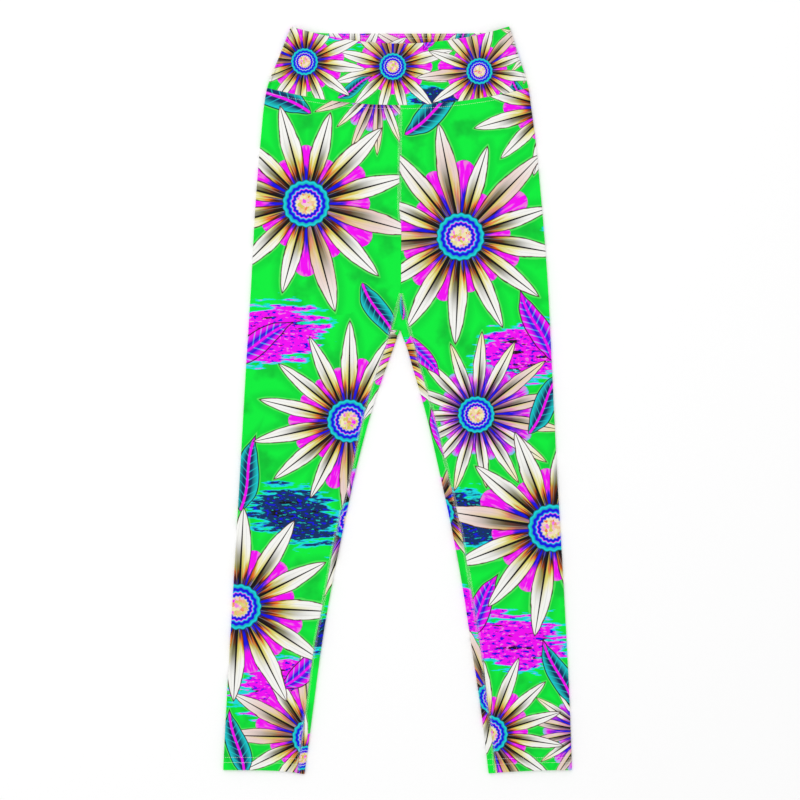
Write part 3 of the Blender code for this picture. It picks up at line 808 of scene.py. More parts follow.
def make_gusset(layers, materials):
    fold = crotch_row()
    run = run_along(fold)
    s = (run / run[-1])[:, None]
    above = np.linspace(0, GUSSET_CORNER_ROW, GUSSET_POINTS["above_corner"])
    below = np.linspace(GUSSET_CORNER_ROW, 1, GUSSET_POINTS["below_corner"])
    shares = np.concatenate([above, below[1:]])
    right = gusset_rail("right", fold[0], shares)
    left = gusset_rail("left", fold[-1], shares)
    front = right[0] + s * (left[0] - right[0])
    back_ends = gusset_back_end("right"), gusset_back_end("left")
    back = back_ends[0] + s * (back_ends[1] - back_ends[0])
    grid, away = [], []
    for k, t in enumerate(shares):
        row = (1 - t) * front + t * fold
        sides = right[k] + s * (left[k] - right[k])
        corners = row[0] + s * (row[-1] - row[0])
        grid.append(np.column_stack([row + sides - corners, np.ones(len(s))]))
    for t in np.linspace(0, 1, GUSSET_ROWS)[1:] ** GUSSET_ROW_POWER:
        grid.append(np.column_stack([(1 - t) * fold + t * back, -np.ones(len(s))]))
    for row in grid:
        across = np.linalg.norm(row[-1, :2] - row[0, :2])
        away.append(np.minimum(s[:, 0], 1 - s[:, 0]) * across)
    rows, columns = len(grid), len(s)
    places = np.vstack(grid)
    half = np.repeat([half_height(row[:, 1].mean()) for row in grid], columns)
    sink = edge_sink(np.concatenate(away), places[:, 2])
    skins = [cloth_points(places, base - sink, half) for base in (OUTSIDE, OUTSIDE - KNIT)]
    skins = [skin.reshape(rows, columns, 3) for skin in skins]
    flat = places[:, :2].copy()
    under = places[:, 2] < 0
    flat[under, 1] = 2 * np.tile(fold[:, 1], rows)[under] - flat[under, 1]
    return cloth_piece("gusset_cloth", *skins, flat, layers, materials, flip=True)


# Waistband -----------------------------------------------------------------------------------

BAND_CELLS = 84
BAND_ROW_CELLS = 18
BAND_FOLD_ANGLES = (5.0, 15.0, 27.0, 40.0, 52.0, 64.0, 77.0, 90.0)
END_STEP = 0.98
BAND_EDGE_INSETS = (0.0, 0.05, 0.2, 0.45, 0.8, 1.3, 1.75, 2.2, 2.65, 4.0, 5.6, 6.1, 6.6)
FRONT_BAND = {
    "name": "waistband_front",
    "side": 1,
    "cloth": 2.4,
    "skins": (1.2, -0.2),
    "edge": 0.5,
    "dip": FRONT_DIP,
}
BACK_BAND = {
    "name": "waistband_back",
    "side": -1,
    "cloth": CLOTH,
    "skins": (0.6, 0.0),
    "edge": -0.7,
    "dip": BACK_DIP,
}
FACING_Z = (2.7, 2.1)
FACING_EDGE_Z = 1.34
FACING_SIDE_INSET = 1.6
EDGE_ROUNDED_TO = 0.999


def dip_power(share, top_power):
    """Power of the curve of a band's row, from the seam's to the top edge's."""
    return SEAM_DIP_POWER + (top_power - SEAM_DIP_POWER) * share


def band_place(share, s, dip, power):
    """Plan point on a band, share of the way up it and s of the way from its middle to a side."""
    y = WAIST_SEAM_Y + BAND_HEIGHT * share
    right, left = side_x("right", y), side_x("left", y)
    x = (right + left) / 2 + s * (left - right) / 2
    return x, y - dip * (1 - abs(s) ** power)


def band_insets():
    """Distance of each row of a band from its seam and from its top edge."""
    low = HALF_GAP + np.array(EDGE_INSETS)
    top = BAND_HEIGHT - np.array(BAND_EDGE_INSETS)[::-1]
    up = np.concatenate([low, np.linspace(low[-1], top[0], BAND_ROW_CELLS + 1)[1:-1], top])
    return up, BAND_HEIGHT - up


def band_side(share, end, dip, power, middle):
    """Plan points of one row round the fold at a side (end -1 or 1), from the seam to the flat stretch."""
    edge, near = np.array([band_place(share, s, dip, power) for s in (end, END_STEP * end)])
    along = (near - edge) / np.linalg.norm(near - edge)
    inwards = -fold_at(edge[None])[1][0]
    insets = BAND_HALF_HEIGHT - middle * np.cos(np.radians(BAND_FOLD_ANGLES))
    points = edge + along * (insets / (along @ inwards))[:, None]
    away, out = fold_at(points)
    return points - out * (insets - away)[:, None]


def band_row(share, dip, power, middle):
    """Plan points of one row, from the right side's seam to the left side's."""
    right = band_side(share, -1, dip, power, middle)
    left = band_side(share, 1, dip, power, middle)
    width = side_x("left", right[0][1]) - side_x("right", right[0][1])
    reach = 2 * (right[-1][0] - right[0][0]) / width
    flat = [band_place(share, s, dip, power) for s in np.linspace(reach - 1, 1 - reach, BAND_CELLS + 1)]
    return np.vstack([right[:-1], flat, left[:-1][::-1]])


def edge_round(down, radius, widest):
    """Share of a skin's full offset that is left where it rounds over the top edge, down below that edge.

    widest is the larger radius of the piece's two skins.
    """
    start = widest - radius
    return np.sqrt(1 - np.clip(1 - (down - start) / radius, 0, EDGE_ROUNDED_TO) ** 2)


def make_band(band, top_power, layers, materials):
    """One layer of the waistband, from side to side, wrapped half way round each side."""
    middle = BAND_HALF_HEIGHT - band["cloth"] / 2
    up, down = band_insets()
    places = []
    for share in up / BAND_HEIGHT:
        row = band_row(share, band["dip"], dip_power(share, top_power), middle)
        places.append(np.column_stack([row, np.full(len(row), band["side"])]))
    rows, columns = len(places), len(places[0])
    places = np.vstack(places)
    half = np.full(len(places), BAND_HALF_HEIGHT)
    edge = band["edge"]
    widest = max(abs(offset - edge) for offset in band["skins"])
    sink = edge_roll(up - HALF_GAP)
    skins = []
    for offset in band["skins"]:
        rounding = edge_round(down, abs(offset - edge), widest)
        dent = groove(down, TOP_EDGE_ROWS) if band["side"] < 0 else 0.0
        offsets = np.repeat(edge + (offset - edge) * rounding - sink - dent, columns)
        skins.append(cloth_points(places, offsets, half, band["cloth"]).reshape(rows, columns, 3))
    flip, doubled = band["side"] < 0, band["side"] > 0
    return cloth_piece(band["name"] + "_cloth", *skins, places[:, :2], layers, materials, flip, doubled)


def across_band(inset, count):
    """Points across the band as shares of its half width, to an inset from its sides."""
    half_width = (side_x("left", WAIST_TOP_Y) - side_x("right", WAIST_TOP_Y)) / 2
    reach = 1 - inset / half_width
    return np.linspace(-reach, reach, count)


def make_facing(layers, materials):
    """Inner cloth of the back band, flat on it and clear of the folds at the sides."""
    up, down = band_insets()
    across = across_band(FACING_SIDE_INSET, BAND_CELLS + 1)
    widest = max(FACING_Z) - FACING_EDGE_Z
    skins = []
    for height in FACING_Z:
        rows = []
        rounding = edge_round(down, height - FACING_EDGE_Z, widest)
        levels = FACING_EDGE_Z + (height - FACING_EDGE_Z) * rounding - groove(down, TOP_EDGE_ROWS)
        for share, z in zip(up / BAND_HEIGHT, levels, strict=True):
            power = dip_power(share, BACK_TOP_DIP_POWER)
            rows.append([(*band_place(share, s, BACK_DIP, power), z) for s in across])
        skins.append(np.array(rows))
    return cloth_piece("waistband_facing_cloth", *skins, skins[0][..., :2], layers, materials)


# Thread --------------------------------------------------------------------------------------

THREAD_RADIUS = 0.16
SEAM_THREAD_RADIUS = 0.045
THREAD_SIDES = 5
STITCH_PITCH = 2.54
STITCH_LENGTH = 1.9
ZIGZAG_PITCH = 1.15
SEAM_NEEDLES = (-2.75, 2.75)
NARROW_NEEDLES = (0.5, 2.9)
FIRST_STITCH_AT = STITCH_PITCH * 0.3
FIRST_ZIGZAG_AT = 0.4
HIP_SEAM_POINTS = 50
STEP_OUT = 0.5
FACES_DOWN = -0.5

# Places along a stitch, and how far its thread lies above the cloth there, in radii of the thread
STITCH_SHARES = (0.0, 0.15, 0.5, 0.85, 1.0)
STITCH_LIFTS = (-1.9, -0.5, -0.2, -0.5, -1.9)

# Each stitch's cell of the bake's square: its tube, and the two caps beside it
TUBE_START = 0.05
TUBE_SIZE = 0.8
CAP_AT = 0.92
CAP_SIZE = 0.04
CAP_HEIGHTS = (1.0, 0.5)


def surface(places, half, lift=0.0):
    """Points of the printed side at places, and the directions straight out of the cloth there."""
    places, half = np.asarray(places, float), np.asarray(half, float)
    full = np.full(len(places), OUTSIDE + lift)
    points = cloth_points(places, full, half)
    out = cloth_points(places, full + STEP_OUT, half) - points
    return points, out / np.linalg.norm(out, axis=1, keepdims=True)


def row_of_stitches(points, out):
    """Starts, ends and outward directions of the stitches along a line on the cloth."""
    run = run_along(points)
    first = np.arange(FIRST_STITCH_AT, run[-1] - STITCH_LENGTH, STITCH_PITCH)
    middle = at_runs(run, out, first + STITCH_LENGTH / 2)
    return at_runs(run, points, first), at_runs(run, points, first + STITCH_LENGTH), middle


def zigzag(edge, inwards, side, half, needles=SEAM_NEEDLES):
    """Stitches of a flat seam, to and fro between two needle lines, given as insets from a sewn edge."""
    run = run_along(edge)
    at = np.arange(FIRST_ZIGZAG_AT, run[-1], ZIGZAG_PITCH / 2)
    inset = np.where(np.arange(len(at)) % 2, needles[1], needles[0])
    plan = at_runs(run, edge, at) + at_runs(run, inwards, at) * inset[:, None]
    places = np.column_stack([plan, np.full(len(at), float(side))])
    lift = FLAT_SEAM_RISE if side > 0 else 0.0
    points, out = surface(places, np.interp(at, run, half), lift)
    return points[:-1], points[1:], out[:-1]


def thread_map(stitches, places):
    """Places in the unit square of the tubes' faces and caps, with a small cell for each stitch."""
    cells = int(np.ceil(np.sqrt(stitches)))
    number = np.arange(stitches)
    corner = np.column_stack([number % cells, number // cells])[:, None, None, None]
    ring, side = np.meshgrid(np.arange(places - 1), np.arange(THREAD_SIDES), indexing="ij")
    steps = np.array([(0, 0), (1, 0), (1, 1), (0, 1)])
    tube = np.stack([side, ring], axis=-1)[None, :, :, None] + steps
    tube = (corner + TUBE_START + TUBE_SIZE * tube / (THREAD_SIDES, places - 1)) / cells
    angles = np.arange(THREAD_SIDES) * 2 * np.pi / THREAD_SIDES
    cap = CAP_AT + CAP_SIZE * np.column_stack([np.cos(angles), np.sin(angles)])
    caps = [(corner[:, 0, 0] + cap * (1.0, height)) / cells for height in CAP_HEIGHTS]
    return np.vstack([tube.reshape(-1, 2), caps[0].reshape(-1, 2), caps[1].reshape(-1, 2)])


def thread_piece(name, rows, material, radius=THREAD_RADIUS):
    """Joined tubes of thread, one arc for each stitch of the rows. Below, the arcs stay above the surface."""
    starts, ends, out = [np.vstack(part) for part in zip(*rows, strict=True)]
    shares = np.array(STITCH_SHARES)[None, :, None]
    below = (out[:, 2] < FACES_DOWN)[:, None]
    lifts = radius * np.where(below, np.subtract(STITCH_LIFTS, 1.0), STITCH_LIFTS)
    centres = starts[:, None] * (1 - shares) + ends[:, None] * shares + out[:, None] * lifts[..., None]
    across = np.cross(ends - starts, out)
    across /= np.linalg.norm(across, axis=1, keepdims=True)
    angles = np.arange(THREAD_SIDES) * 2 * np.pi / THREAD_SIDES
    ring = across[:, None] * np.cos(angles)[:, None] + out[:, None] * np.sin(angles)[:, None]
    points = centres[:, :, None] + ring[:, None] * radius
    stitches, places = points.shape[:2]
    index = np.arange(points[..., 0].size).reshape(stitches, places, THREAD_SIDES)
    turned = np.roll(index, -1, axis=2)
    quads = np.stack([index[:, :-1], turned[:, :-1], turned[:, 1:], index[:, 1:]], axis=-1)
    caps = np.vstack([index[:, 0, ::-1], index[:, -1]])
    faces = quads.reshape(-1, 4).tolist() + caps.tolist()
    piece = new_piece(name, points.reshape(-1, 3), faces, [material])
    lay_map(piece, thread_map(stitches, places))
    return piece


def edge_of(lines, end):
    """Points, inward directions and half heights along the front or back edges of a run of lines."""
    far = [line["outer"] if end == "front" or line["inner"] is None else line["inner"] for line in lines]
    edge = np.array([line[end] for line in lines], float)
    inwards = np.array(far, float) - edge
    inwards /= np.linalg.norm(inwards, axis=1, keepdims=True)
    curve = np.array([line.get("curve", 0.0) for line in lines])
    dip = FRONT_DIP if end == "front" else BACK_DIP
    edge[:, 1] -= curve * waist_drop(edge[:, 0], dip)
    return edge, inwards, np.array([half_height(line["level"]) for line in lines])


def hem_start(edge, leg):
    """The same points, with those near the hem moved down along the leg as the hem falls."""
    for k, level in enumerate(edge[:, 1].copy()):
        if level < HEM_Y + HEM_CURVE_REACH:
            edge[k] = hem_drop(edge[k : k + 1], leg, level)[0]
    return edge


def seam_threads(leg, material):
    """Flat seams of a leg: its inseam, the gusset's edges, and on the right leg the centre seams.

    Below, the gusset is too narrow for a seam across its edges, so there the threads lie on the leg alone.
    """
    printed_hem, _, fold = hem_rows()
    levels = np.arange(HEM_DEPTH + 1.0, GUSSET_CORNERS[leg["side"]][1] - HEM_Y, ROW_STEP)
    low = [low_line(leg, HEM_Y + h) for h in (*printed_hem[fold + 1 :, 0], *levels[1:])]
    low.append(low_line(leg, GUSSET_CORNERS[leg["side"]][1]))
    tips = [tip_line(leg, share) for share in np.linspace(0, 1, TIP_ROWS + 1)[1:-1]]
    ups = [gusset_line(leg, share) for share in np.linspace(0, 1, GUSSET_ROWS)[1:]]
    edge, inwards, half = edge_of(low + tips + ups, "front")
    rows = [zigzag(hem_start(edge, leg), inwards, 1, half)]
    edge, inwards, half = edge_of(ups, "back")
    rows.append(zigzag(edge, inwards, -1, half, NARROW_NEEDLES))
    if leg["side"] == "right":
        top = WAIST_SEAM_Y - WAIST_TOPSTITCH / 2
        for end, start, side in (("front", SEAM_HIDDEN_BELOW, 1), ("back", APEX_BACK_Y, -1)):
            hips = [hip_line(leg, level) for level in np.linspace(start, top, HIP_SEAM_POINTS)]
            edge, inwards, half = edge_of(hips, end)
            rows.append(zigzag(edge, inwards, side, half))
    return thread_piece(leg["name"] + "_flat_seams", rows, material, SEAM_THREAD_RADIUS)


def leg_stitches(leg, material):
    """Two rows of stitches round the hem and one under the waistband."""
    lines = [low_line(leg, HEM_Y + h) for h in HEM_ROWS]
    lines.append(hip_line(leg, WAIST_SEAM_Y - WAIST_TOPSTITCH))
    rows = []
    for line in lines:
        places = line_places(line, leg)[0]
        points, out = surface(places, np.full(len(places), half_height(line["level"])))
        rows.append(row_of_stitches(points, out))
    return thread_piece(leg["name"] + "_stitches", rows, material)


def top_edge_stitches(material):
    """Two rows through the back of the waistband under its top edge, seen inside and out."""
    across = across_band(2 * FACING_SIDE_INSET, BAND_CELLS)
    rows = []
    for down in TOP_EDGE_ROWS:
        share = 1 - down / BAND_HEIGHT
        power = dip_power(share, BACK_TOP_DIP_POWER)
        plan = np.array([band_place(share, s, BACK_DIP, power) for s in across])
        for z, up in ((FACING_Z[0], 1.0), (0.0, -1.0)):
            points = np.column_stack([plan, np.full(len(plan), z)])
            rows.append(row_of_stitches(points, np.tile((0.0, 0.0, up), (len(plan), 1))))
    return thread_piece("waistband_top_stitches", rows, material)


# Print ---------------------------------------------------------------------------------------

# Motifs of each piece by layer: middle on the flat cloth, half length and half width, turn in degrees, and
# tone, which picks a motif's colours and its number of petals
RIGHT_LEG_PRINT = {
    "brushed_patches": (
        (-158, 84, 74, 44, 12, 0.2),
        (-128, -146, 66, 40, -16, 0.8),
        (-136, -362, 84, 42, 8, 0.3),
        (-250, 240, 70, 40, 10, 0.8),
        (-300, -280, 70, 36, 0, 0.7),
    ),
    "low_blossoms": (
        (-24, 398, 88, 88, 10, 0.9),
        (-110, -428, 116, 116, 40, 0.3),
        (-330, -132, 128, 128, 0, 0.8),
        (-290, 352, 110, 110, 15, 0.1),
    ),
    "leaves": (
        (-158, 388, 54, 17, 152, 0.2),
        (-22, 110, 46, 15, -62, 0.3),
        (-176, 74, 52, 16, 28, 0.8),
        (-190, -92, 50, 16, 76, 0.2),
        (-112, -338, 46, 15, 34, 0.8),
        (-204, -436, 46, 15, 100, 0.2),
        (-242, -20, 48, 15, 60, 0.7),
        (-260, -390, 40, 13, 20, 0.2),
        (-372, 250, 40, 13, 80, 0.8),
    ),
    "high_blossoms": (
        (-116, 250, 146, 146, 0, 0.15),
        (-62, -26, 134, 134, 25, 0.55),
        (-202, -262, 142, 142, 12, 0.05),
        (-340, 100, 120, 120, 8, 0.3),
        (-330, -440, 76, 76, 33, 0.5),
    ),
}

LEFT_LEG_PRINT = {
    "brushed_patches": (
        (164, 62, 76, 42, 14, 0.3),
        (92, -150, 62, 40, -20, 0.8),
        (150, -306, 76, 42, -8, 0.2),
        (262, 200, 70, 40, -8, 0.7),
        (330, -250, 80, 40, -8, 0.2),
    ),
    "low_blossoms": (
        (196, 372, 112, 112, 0, 0.2),
        (100, -18, 114, 114, 14, 0.8),
        (330, -120, 112, 112, 22, 0.4),
        (240, -420, 84, 84, 0, 0.9),
    ),
    "leaves": (
        (50, 372, 54, 17, 38, 0.2),
        (176, 96, 50, 16, 112, 0.8),
        (188, -2, 46, 15, 60, 0.2),
        (30, 58, 38, 12, -52, 0.8),
        (106, -262, 48, 15, 60, 0.8),
        (204, -346, 48, 15, 112, 0.2),
        (236, 240, 50, 16, 95, 0.3),
        (268, -40, 44, 14, 45, 0.7),
        (286, -290, 42, 14, 120, 0.2),
        (372, -30, 44, 14, 90, 0.8),
    ),
    "high_blossoms": (
        (80, 208, 148, 148, 18, 0.4),
        (196, -162, 148, 148, 6, 0.1),
        (116, -424, 118, 118, 30, 0.5),
        (340, 84, 114, 114, 20, 0.05),
        (302, 334, 102, 102, 10, 0.5),
        (350, -364, 100, 100, 26, 0.2),
    ),
}

FRONT_BAND_PRINT = {
    "brushed_patches": ((-58, 474, 44, 26, 6, 0.3), (50, 382, 44, 18, -8, 0.8)),
    "low_blossoms": ((-6, 424, 84, 84, 0, 0.2), (176, 452, 60, 60, 12, 0.8)),
    "leaves": (
        (-54, 398, 26, 9, 30, 0.2),
        (44, 466, 24, 8, 60, 0.8),
        (154, 390, 26, 9, 110, 0.3),
        (-146, 466, 20, 7, 60, 0.8),
    ),
    "high_blossoms": (
        (-118, 430, 84, 84, 8, 0.1),
        (104, 418, 82, 82, 20, 0.4),
    ),
}

BACK_BAND_PRINT = {
    "brushed_patches": ((-12, 464, 96, 22, 2, 0.2), (120, 400, 40, 20, -12, 0.8)),
    "low_blossoms": ((-150, 440, 70, 70, 5, 0.2), (40, 430, 84, 84, 12, 0.3)),
    "leaves": ((84, 466, 26, 9, 60, 0.2), (-100, 394, 24, 8, 100, 0.8)),
    "high_blossoms": ((-52, 420, 80, 80, 18, 0.1), (140, 436, 84, 84, 0, 0.4)),
}

GUSSET_PRINT = {
    "brushed_patches": ((12, 66, 20, 12, 0, 0.2),),
    "low_blossoms": ((-70, 70, 76, 76, 0, 0.2),),
    "leaves": ((8, 122, 20, 6, 84, 0.2),),
    "high_blossoms": ((92, 108, 96, 96, 0, 0.3),),
}


def dye(red, green, blue):
    """Linear colour of an ink, from its values on a screen."""
    values = np.array([red, green, blue]) / 255
    linear = np.where(values < 0.04045, values / 12.92, ((values + 0.055) / 1.055) ** 2.4)
    return (*linear.tolist(), 1.0)


GREEN = dye(0, 238, 60)
DEEP_GREEN = dye(0, 192, 50)
LIME = dye(110, 245, 110)
MAGENTA = dye(243, 0, 243)
PINK = dye(238, 128, 222)
ROSE = dye(222, 156, 142)
VIOLET = dye(142, 34, 222)
BLUE = dye(16, 10, 226)
CYAN = dye(20, 218, 230)
TURQUOISE = dye(20, 178, 176)
WHITE = dye(247, 247, 243)
CREAM = dye(244, 239, 190)
YELLOW = dye(214, 204, 92)
OLIVE = dye(104, 102, 78)
ORANGE = dye(236, 100, 16)
BROWN = dye(104, 40, 16)
BLACK = dye(14, 11, 14)
NAVY = dye(12, 46, 100)
GREY = dye(190, 189, 182)


RAMPS = {
    "pale petal": (
        (0.2, BLUE), (0.25, BLACK), (0.3, BROWN), (0.35, ORANGE),
        (0.41, YELLOW), (0.48, CREAM), (0.58, WHITE),
    ),
    "soft petal": (
        (0.2, BLACK), (0.25, NAVY), (0.31, VIOLET), (0.38, PINK),
        (0.46, WHITE), (0.66, WHITE), (0.9, CREAM),
    ),
    "petal shade": ((0.4, BLACK), (0.5, OLIVE), (0.66, GREY), (0.8, WHITE)),
    "warm backing": (
        (0.3, BLACK), (0.36, BLUE), (0.52, BLUE), (0.6, VIOLET),
        (0.66, MAGENTA), (0.94, MAGENTA), (1, PINK),
    ),
    "cold backing": ((0.3, BLACK), (0.36, BLUE), (0.6, BLUE), (0.74, VIOLET), (0.88, MAGENTA), (1, CYAN)),
    "rings": (
        (0, CREAM), (0.085, CREAM), (0.098, BLUE), (0.118, BLUE), (0.124, MAGENTA), (0.132, CYAN),
        (0.142, BLUE), (0.165, BLUE), (0.172, TURQUOISE), (0.192, CYAN), (0.205, BLACK),
    ),
    "crumbs": ((0, ORANGE), (0.25, CREAM), (0.45, MAGENTA), (0.6, CREAM), (0.85, YELLOW)),
    "sea leaf": ((0, NAVY), (0.35, NAVY), (0.7, TURQUOISE), (1, CYAN)),
    "dusk leaf": ((0, VIOLET), (0.35, BLUE), (0.7, MAGENTA), (1, MAGENTA)),
}

# Half widths along a motif, as shares, from its foot to its tip
FRONT_PETAL = (
    (0, 0.9), (0.2, 0.86), (0.36, 0.82), (0.52, 0.72), (0.7, 0.48), (0.84, 0.28), (0.94, 0.13), (1, 0),
)
BACK_PETAL = ((0, 1), (0.6, 1), (0.78, 0.96), (0.9, 0.7), (1, 0))
LEAF = ((0, 0), (0.12, 0.5), (0.4, 0.96), (0.7, 0.72), (0.9, 0.22), (1, 0))
LEAST_WIDTH = 0.05
BACK_PETAL_SHORTER = 1.5
SCALLOPS = 18
CENTRE_RADIUS = 0.2
WALE = 0.8
COURSE = 0.62
SOCKET_KINDS = {"Place": "Vector", "Cloth": "Vector", "Colour": "Color"}
PETAL_INPUTS = ("Radius", "Angle", "Petals", "Turn", "Tone", "Unevenness")


class Signal:
    """Value that runs through a shader tree, for use in plain arithmetic."""

    def __init__(self, bench, socket):
        self.bench = bench
        self.socket = socket

    def __add__(self, other):
        return self.bench.math("ADD", self, other)

    def __sub__(self, other):
        return self.bench.math("SUBTRACT", self, other)

    def __rsub__(self, other):
        return self.bench.math("SUBTRACT", other, self)

    def __mul__(self, other):
        return self.bench.math("MULTIPLY", self, other)

    def __truediv__(self, other):
        return self.bench.math("DIVIDE", self, other)

    def __abs__(self):
        return self.bench.math("ABSOLUTE", self)


class Bench:
    """Places shader nodes in one tree and wires them together."""

    def __init__(self, tree):
        self.tree = tree

    def wire(self, value, socket):
        if isinstance(value, Signal):
            self.tree.links.new(value.socket, socket)
        else:
            socket.default_value = value

    def add(self, kind, inputs, **settings):
        node = self.tree.nodes.new(kind)
        for name, value in settings.items():
            setattr(node, name, value)
        for socket, value in inputs.items():
            self.wire(value, node.inputs[socket])
        return node

    def signal(self, kind, inputs, output=0, **settings):
        return Signal(self, self.add(kind, inputs, **settings).outputs[output])

    def signals(self, node):
        return {socket.name: Signal(self, socket) for socket in node.outputs}

    def math(self, operation, *values):
        return self.signal("ShaderNodeMath", dict(enumerate(values)), operation=operation)

    def length(self, x, y):
        return self.math("SQRT", x * x + y * y)

    def vector(self, x, y, z):
        return self.signal("ShaderNodeCombineXYZ", {0: x, 1: y, 2: z})

    def parts(self, where):
        return list(self.signals(self.add("ShaderNodeSeparateXYZ", {0: where})).values())

    def mix(self, share, first, second):
        return self.signal("ShaderNodeMix", {0: share, 6: first, 7: second}, 2, data_type="RGBA")

    def step(self, value, low, high):
        """Smooth step from 0 at low to 1 at high. It falls where high is the lower one."""
        inputs = {0: value, 1: low, 2: high}
        return self.signal("ShaderNodeMapRange", inputs, interpolation_type="SMOOTHSTEP")

    def ramp(self, value, name):
        node = self.add("ShaderNodeValToRGB", {0: value})
        elements, stops = node.color_ramp.elements, RAMPS[name]
        while len(elements) < len(stops):
            elements.new(1.0)
        for k, (position, _) in enumerate(stops):
            elements[k].position = position
        for k, (_, colour) in enumerate(stops):
            elements[k].color = colour
        return Signal(self, node.outputs[0])

    def curve(self, value, points):
        node = self.add("ShaderNodeFloatCurve", {1: value})
        knots = node.mapping.curves[0].points
        while len(knots) < len(points):
            knots.new(0.5, 0.5)
        for knot, place in zip(knots, points, strict=True):
            knot.location = place
        node.mapping.update()
        return Signal(self, node.outputs[0])

    def noise(self, where, scale, detail, dimensions):
        inputs = {"Vector": where, "Scale": scale, "Detail": detail}
        return self.signal("ShaderNodeTexNoise", inputs, noise_dimensions=dimensions)

    def mottle(self, cloth, length, width, detail):
        """Soft random patches of about this length and width on the flat cloth."""
        scale = {0: cloth, 1: (1 / length, 1 / width, 1.0)}
        place = self.signal("ShaderNodeVectorMath", scale, operation="MULTIPLY")
        return self.noise(place, scale=1.0, detail=detail, dimensions="2D")

    def group(self, tree, inputs):
        return self.signals(self.add("ShaderNodeGroup", inputs, node_tree=tree))


def new_group(name, inputs, make, *settings):
    """Node group with named sockets, from a function that gives the value of each of its outputs."""
    tree = bpy.data.node_groups.new(name, "ShaderNodeTree")
    bench = Bench(tree)

    def add_sockets(direction, sockets):
        for socket in sockets:
            kind = "NodeSocket" + SOCKET_KINDS.get(socket, "Float")
            tree.interface.new_socket(socket, in_out=direction, socket_type=kind)

    add_sockets("INPUT", inputs)
    values = make(bench, bench.signals(tree.nodes.new("NodeGroupInput")), *settings)
    add_sockets("OUTPUT", values)
    bench.add("NodeGroupOutput", values)
    return tree


def petal_row(bench, given, profile):
    """A ring of uneven petals.

    Inside is the distance in from their outline. Share runs from -1 to 1 across each petal and Reach from
    0 to 1 along it. Chance is a random number for each petal.
    """
    radius, petals = given["Radius"], given["Petals"]
    spin = given["Angle"] * petals + given["Turn"]
    number = bench.math("FLOORED_MODULO", bench.math("FLOOR", spin), petals)
    across = bench.math("FRACT", spin) * 2 - 1
    seed = bench.math("ROUND", given["Tone"] * 100) * 32 + number
    chance = bench.signal("ShaderNodeTexWhiteNoise", {"W": seed}, noise_dimensions="1D")
    reach = radius / (1 - (1 - chance) * given["Unevenness"])
    streaks = bench.vector(across * 2.6, reach * 2, seed)
    veins = bench.noise(streaks, scale=2.2, detail=3.0, dimensions="3D")
    width = bench.curve(reach, profile) * (veins * 0.3 + 0.85)
    girth = radius * np.pi / petals
    return {
        "Inside": bench.math("MINIMUM", (width - abs(across)) * girth, (1 - reach) * 0.8),
        "Across": across * girth,
        "Share": across / bench.math("MAXIMUM", width, LEAST_WIDTH),
        "Reach": reach,
        "Veins": veins,
        "Chance": chance,
    }


def petal_colour(bench, petal, cool):
    """Pale petal with a dark rib, one half in shade, long veins and a black foot."""
    chance, share, reach = petal["Chance"], petal["Share"], petal["Reach"]
    veined = petal["Veins"] * 0.34 + (reach - 0.17)
    colour = bench.mix(cool, bench.ramp(veined, "pale petal"), bench.ramp(veined, "soft petal"))
    blush = bench.step(chance, 0.8, 0.84) * bench.step(reach, 1.0, 0.6) * 0.5
    colour = bench.mix(blush, colour, ROSE)
    lit = share * bench.math("SIGN", bench.math("PINGPONG", chance, 0.25) - 0.12)
    gold = bench.step(lit, 0.45, 0.15) * bench.step(lit, -0.1, 0.05) * bench.step(reach, 0.8, 0.4)
    colour = bench.mix(gold * 0.8, colour, YELLOW)
    depth = bench.step(bench.math("PINGPONG", chance * 5, 1.0), -0.3, 0.7)
    dark = bench.step(lit, 0.02, -0.1) * bench.step(lit, -0.9, -0.4) * bench.step(reach, 0.8, 0.5)
    colour = bench.mix(dark * depth * 0.85, colour, bench.ramp(reach, "petal shade"))
    vein = abs(abs(share) - 0.5)
    colour = bench.mix(bench.step(vein, 0.07, 0.02) * 0.3, colour, GREY)
    rib = abs(petal["Across"]) - (reach * -0.013 + 0.014)
    colour = bench.mix(bench.step(rib, 0.003, -0.001), colour, BLACK)
    colour = bench.mix(bench.step(petal["Inside"], 0.012, 0.006), colour, BROWN)
    return bench.mix(bench.step(petal["Inside"], 0.007, 0.002), colour, BLACK)


def backing_colour(bench, petal, cool):
    """Bright broad petal, blue at its foot and pink at its tip."""
    veins, reach = petal["Veins"], petal["Reach"]
    veined = veins * 0.4 + (reach - 0.2)
    colour = bench.mix(cool, bench.ramp(veined, "warm backing"), bench.ramp(veined, "cold backing"))
    cloud = bench.step(veins, 0.52, 0.66) * bench.step(reach, 0.4, 0.8)
    colour = bench.mix(cloud * 0.8, colour, PINK)
    return bench.mix(bench.step(petal["Inside"], 0.012, 0.003), colour, NAVY)


def centre_colour(bench, place, core):
    """Ringed centre with a crumbled middle."""
    crumbs = bench.signal("ShaderNodeTexVoronoi", {"Vector": place, "Scale": 38.0}, "Color")
    middle = bench.ramp(bench.parts(crumbs)[0], "crumbs")
    return bench.mix(bench.step(core, 0.092, 0.08), bench.ramp(core, "rings"), middle)


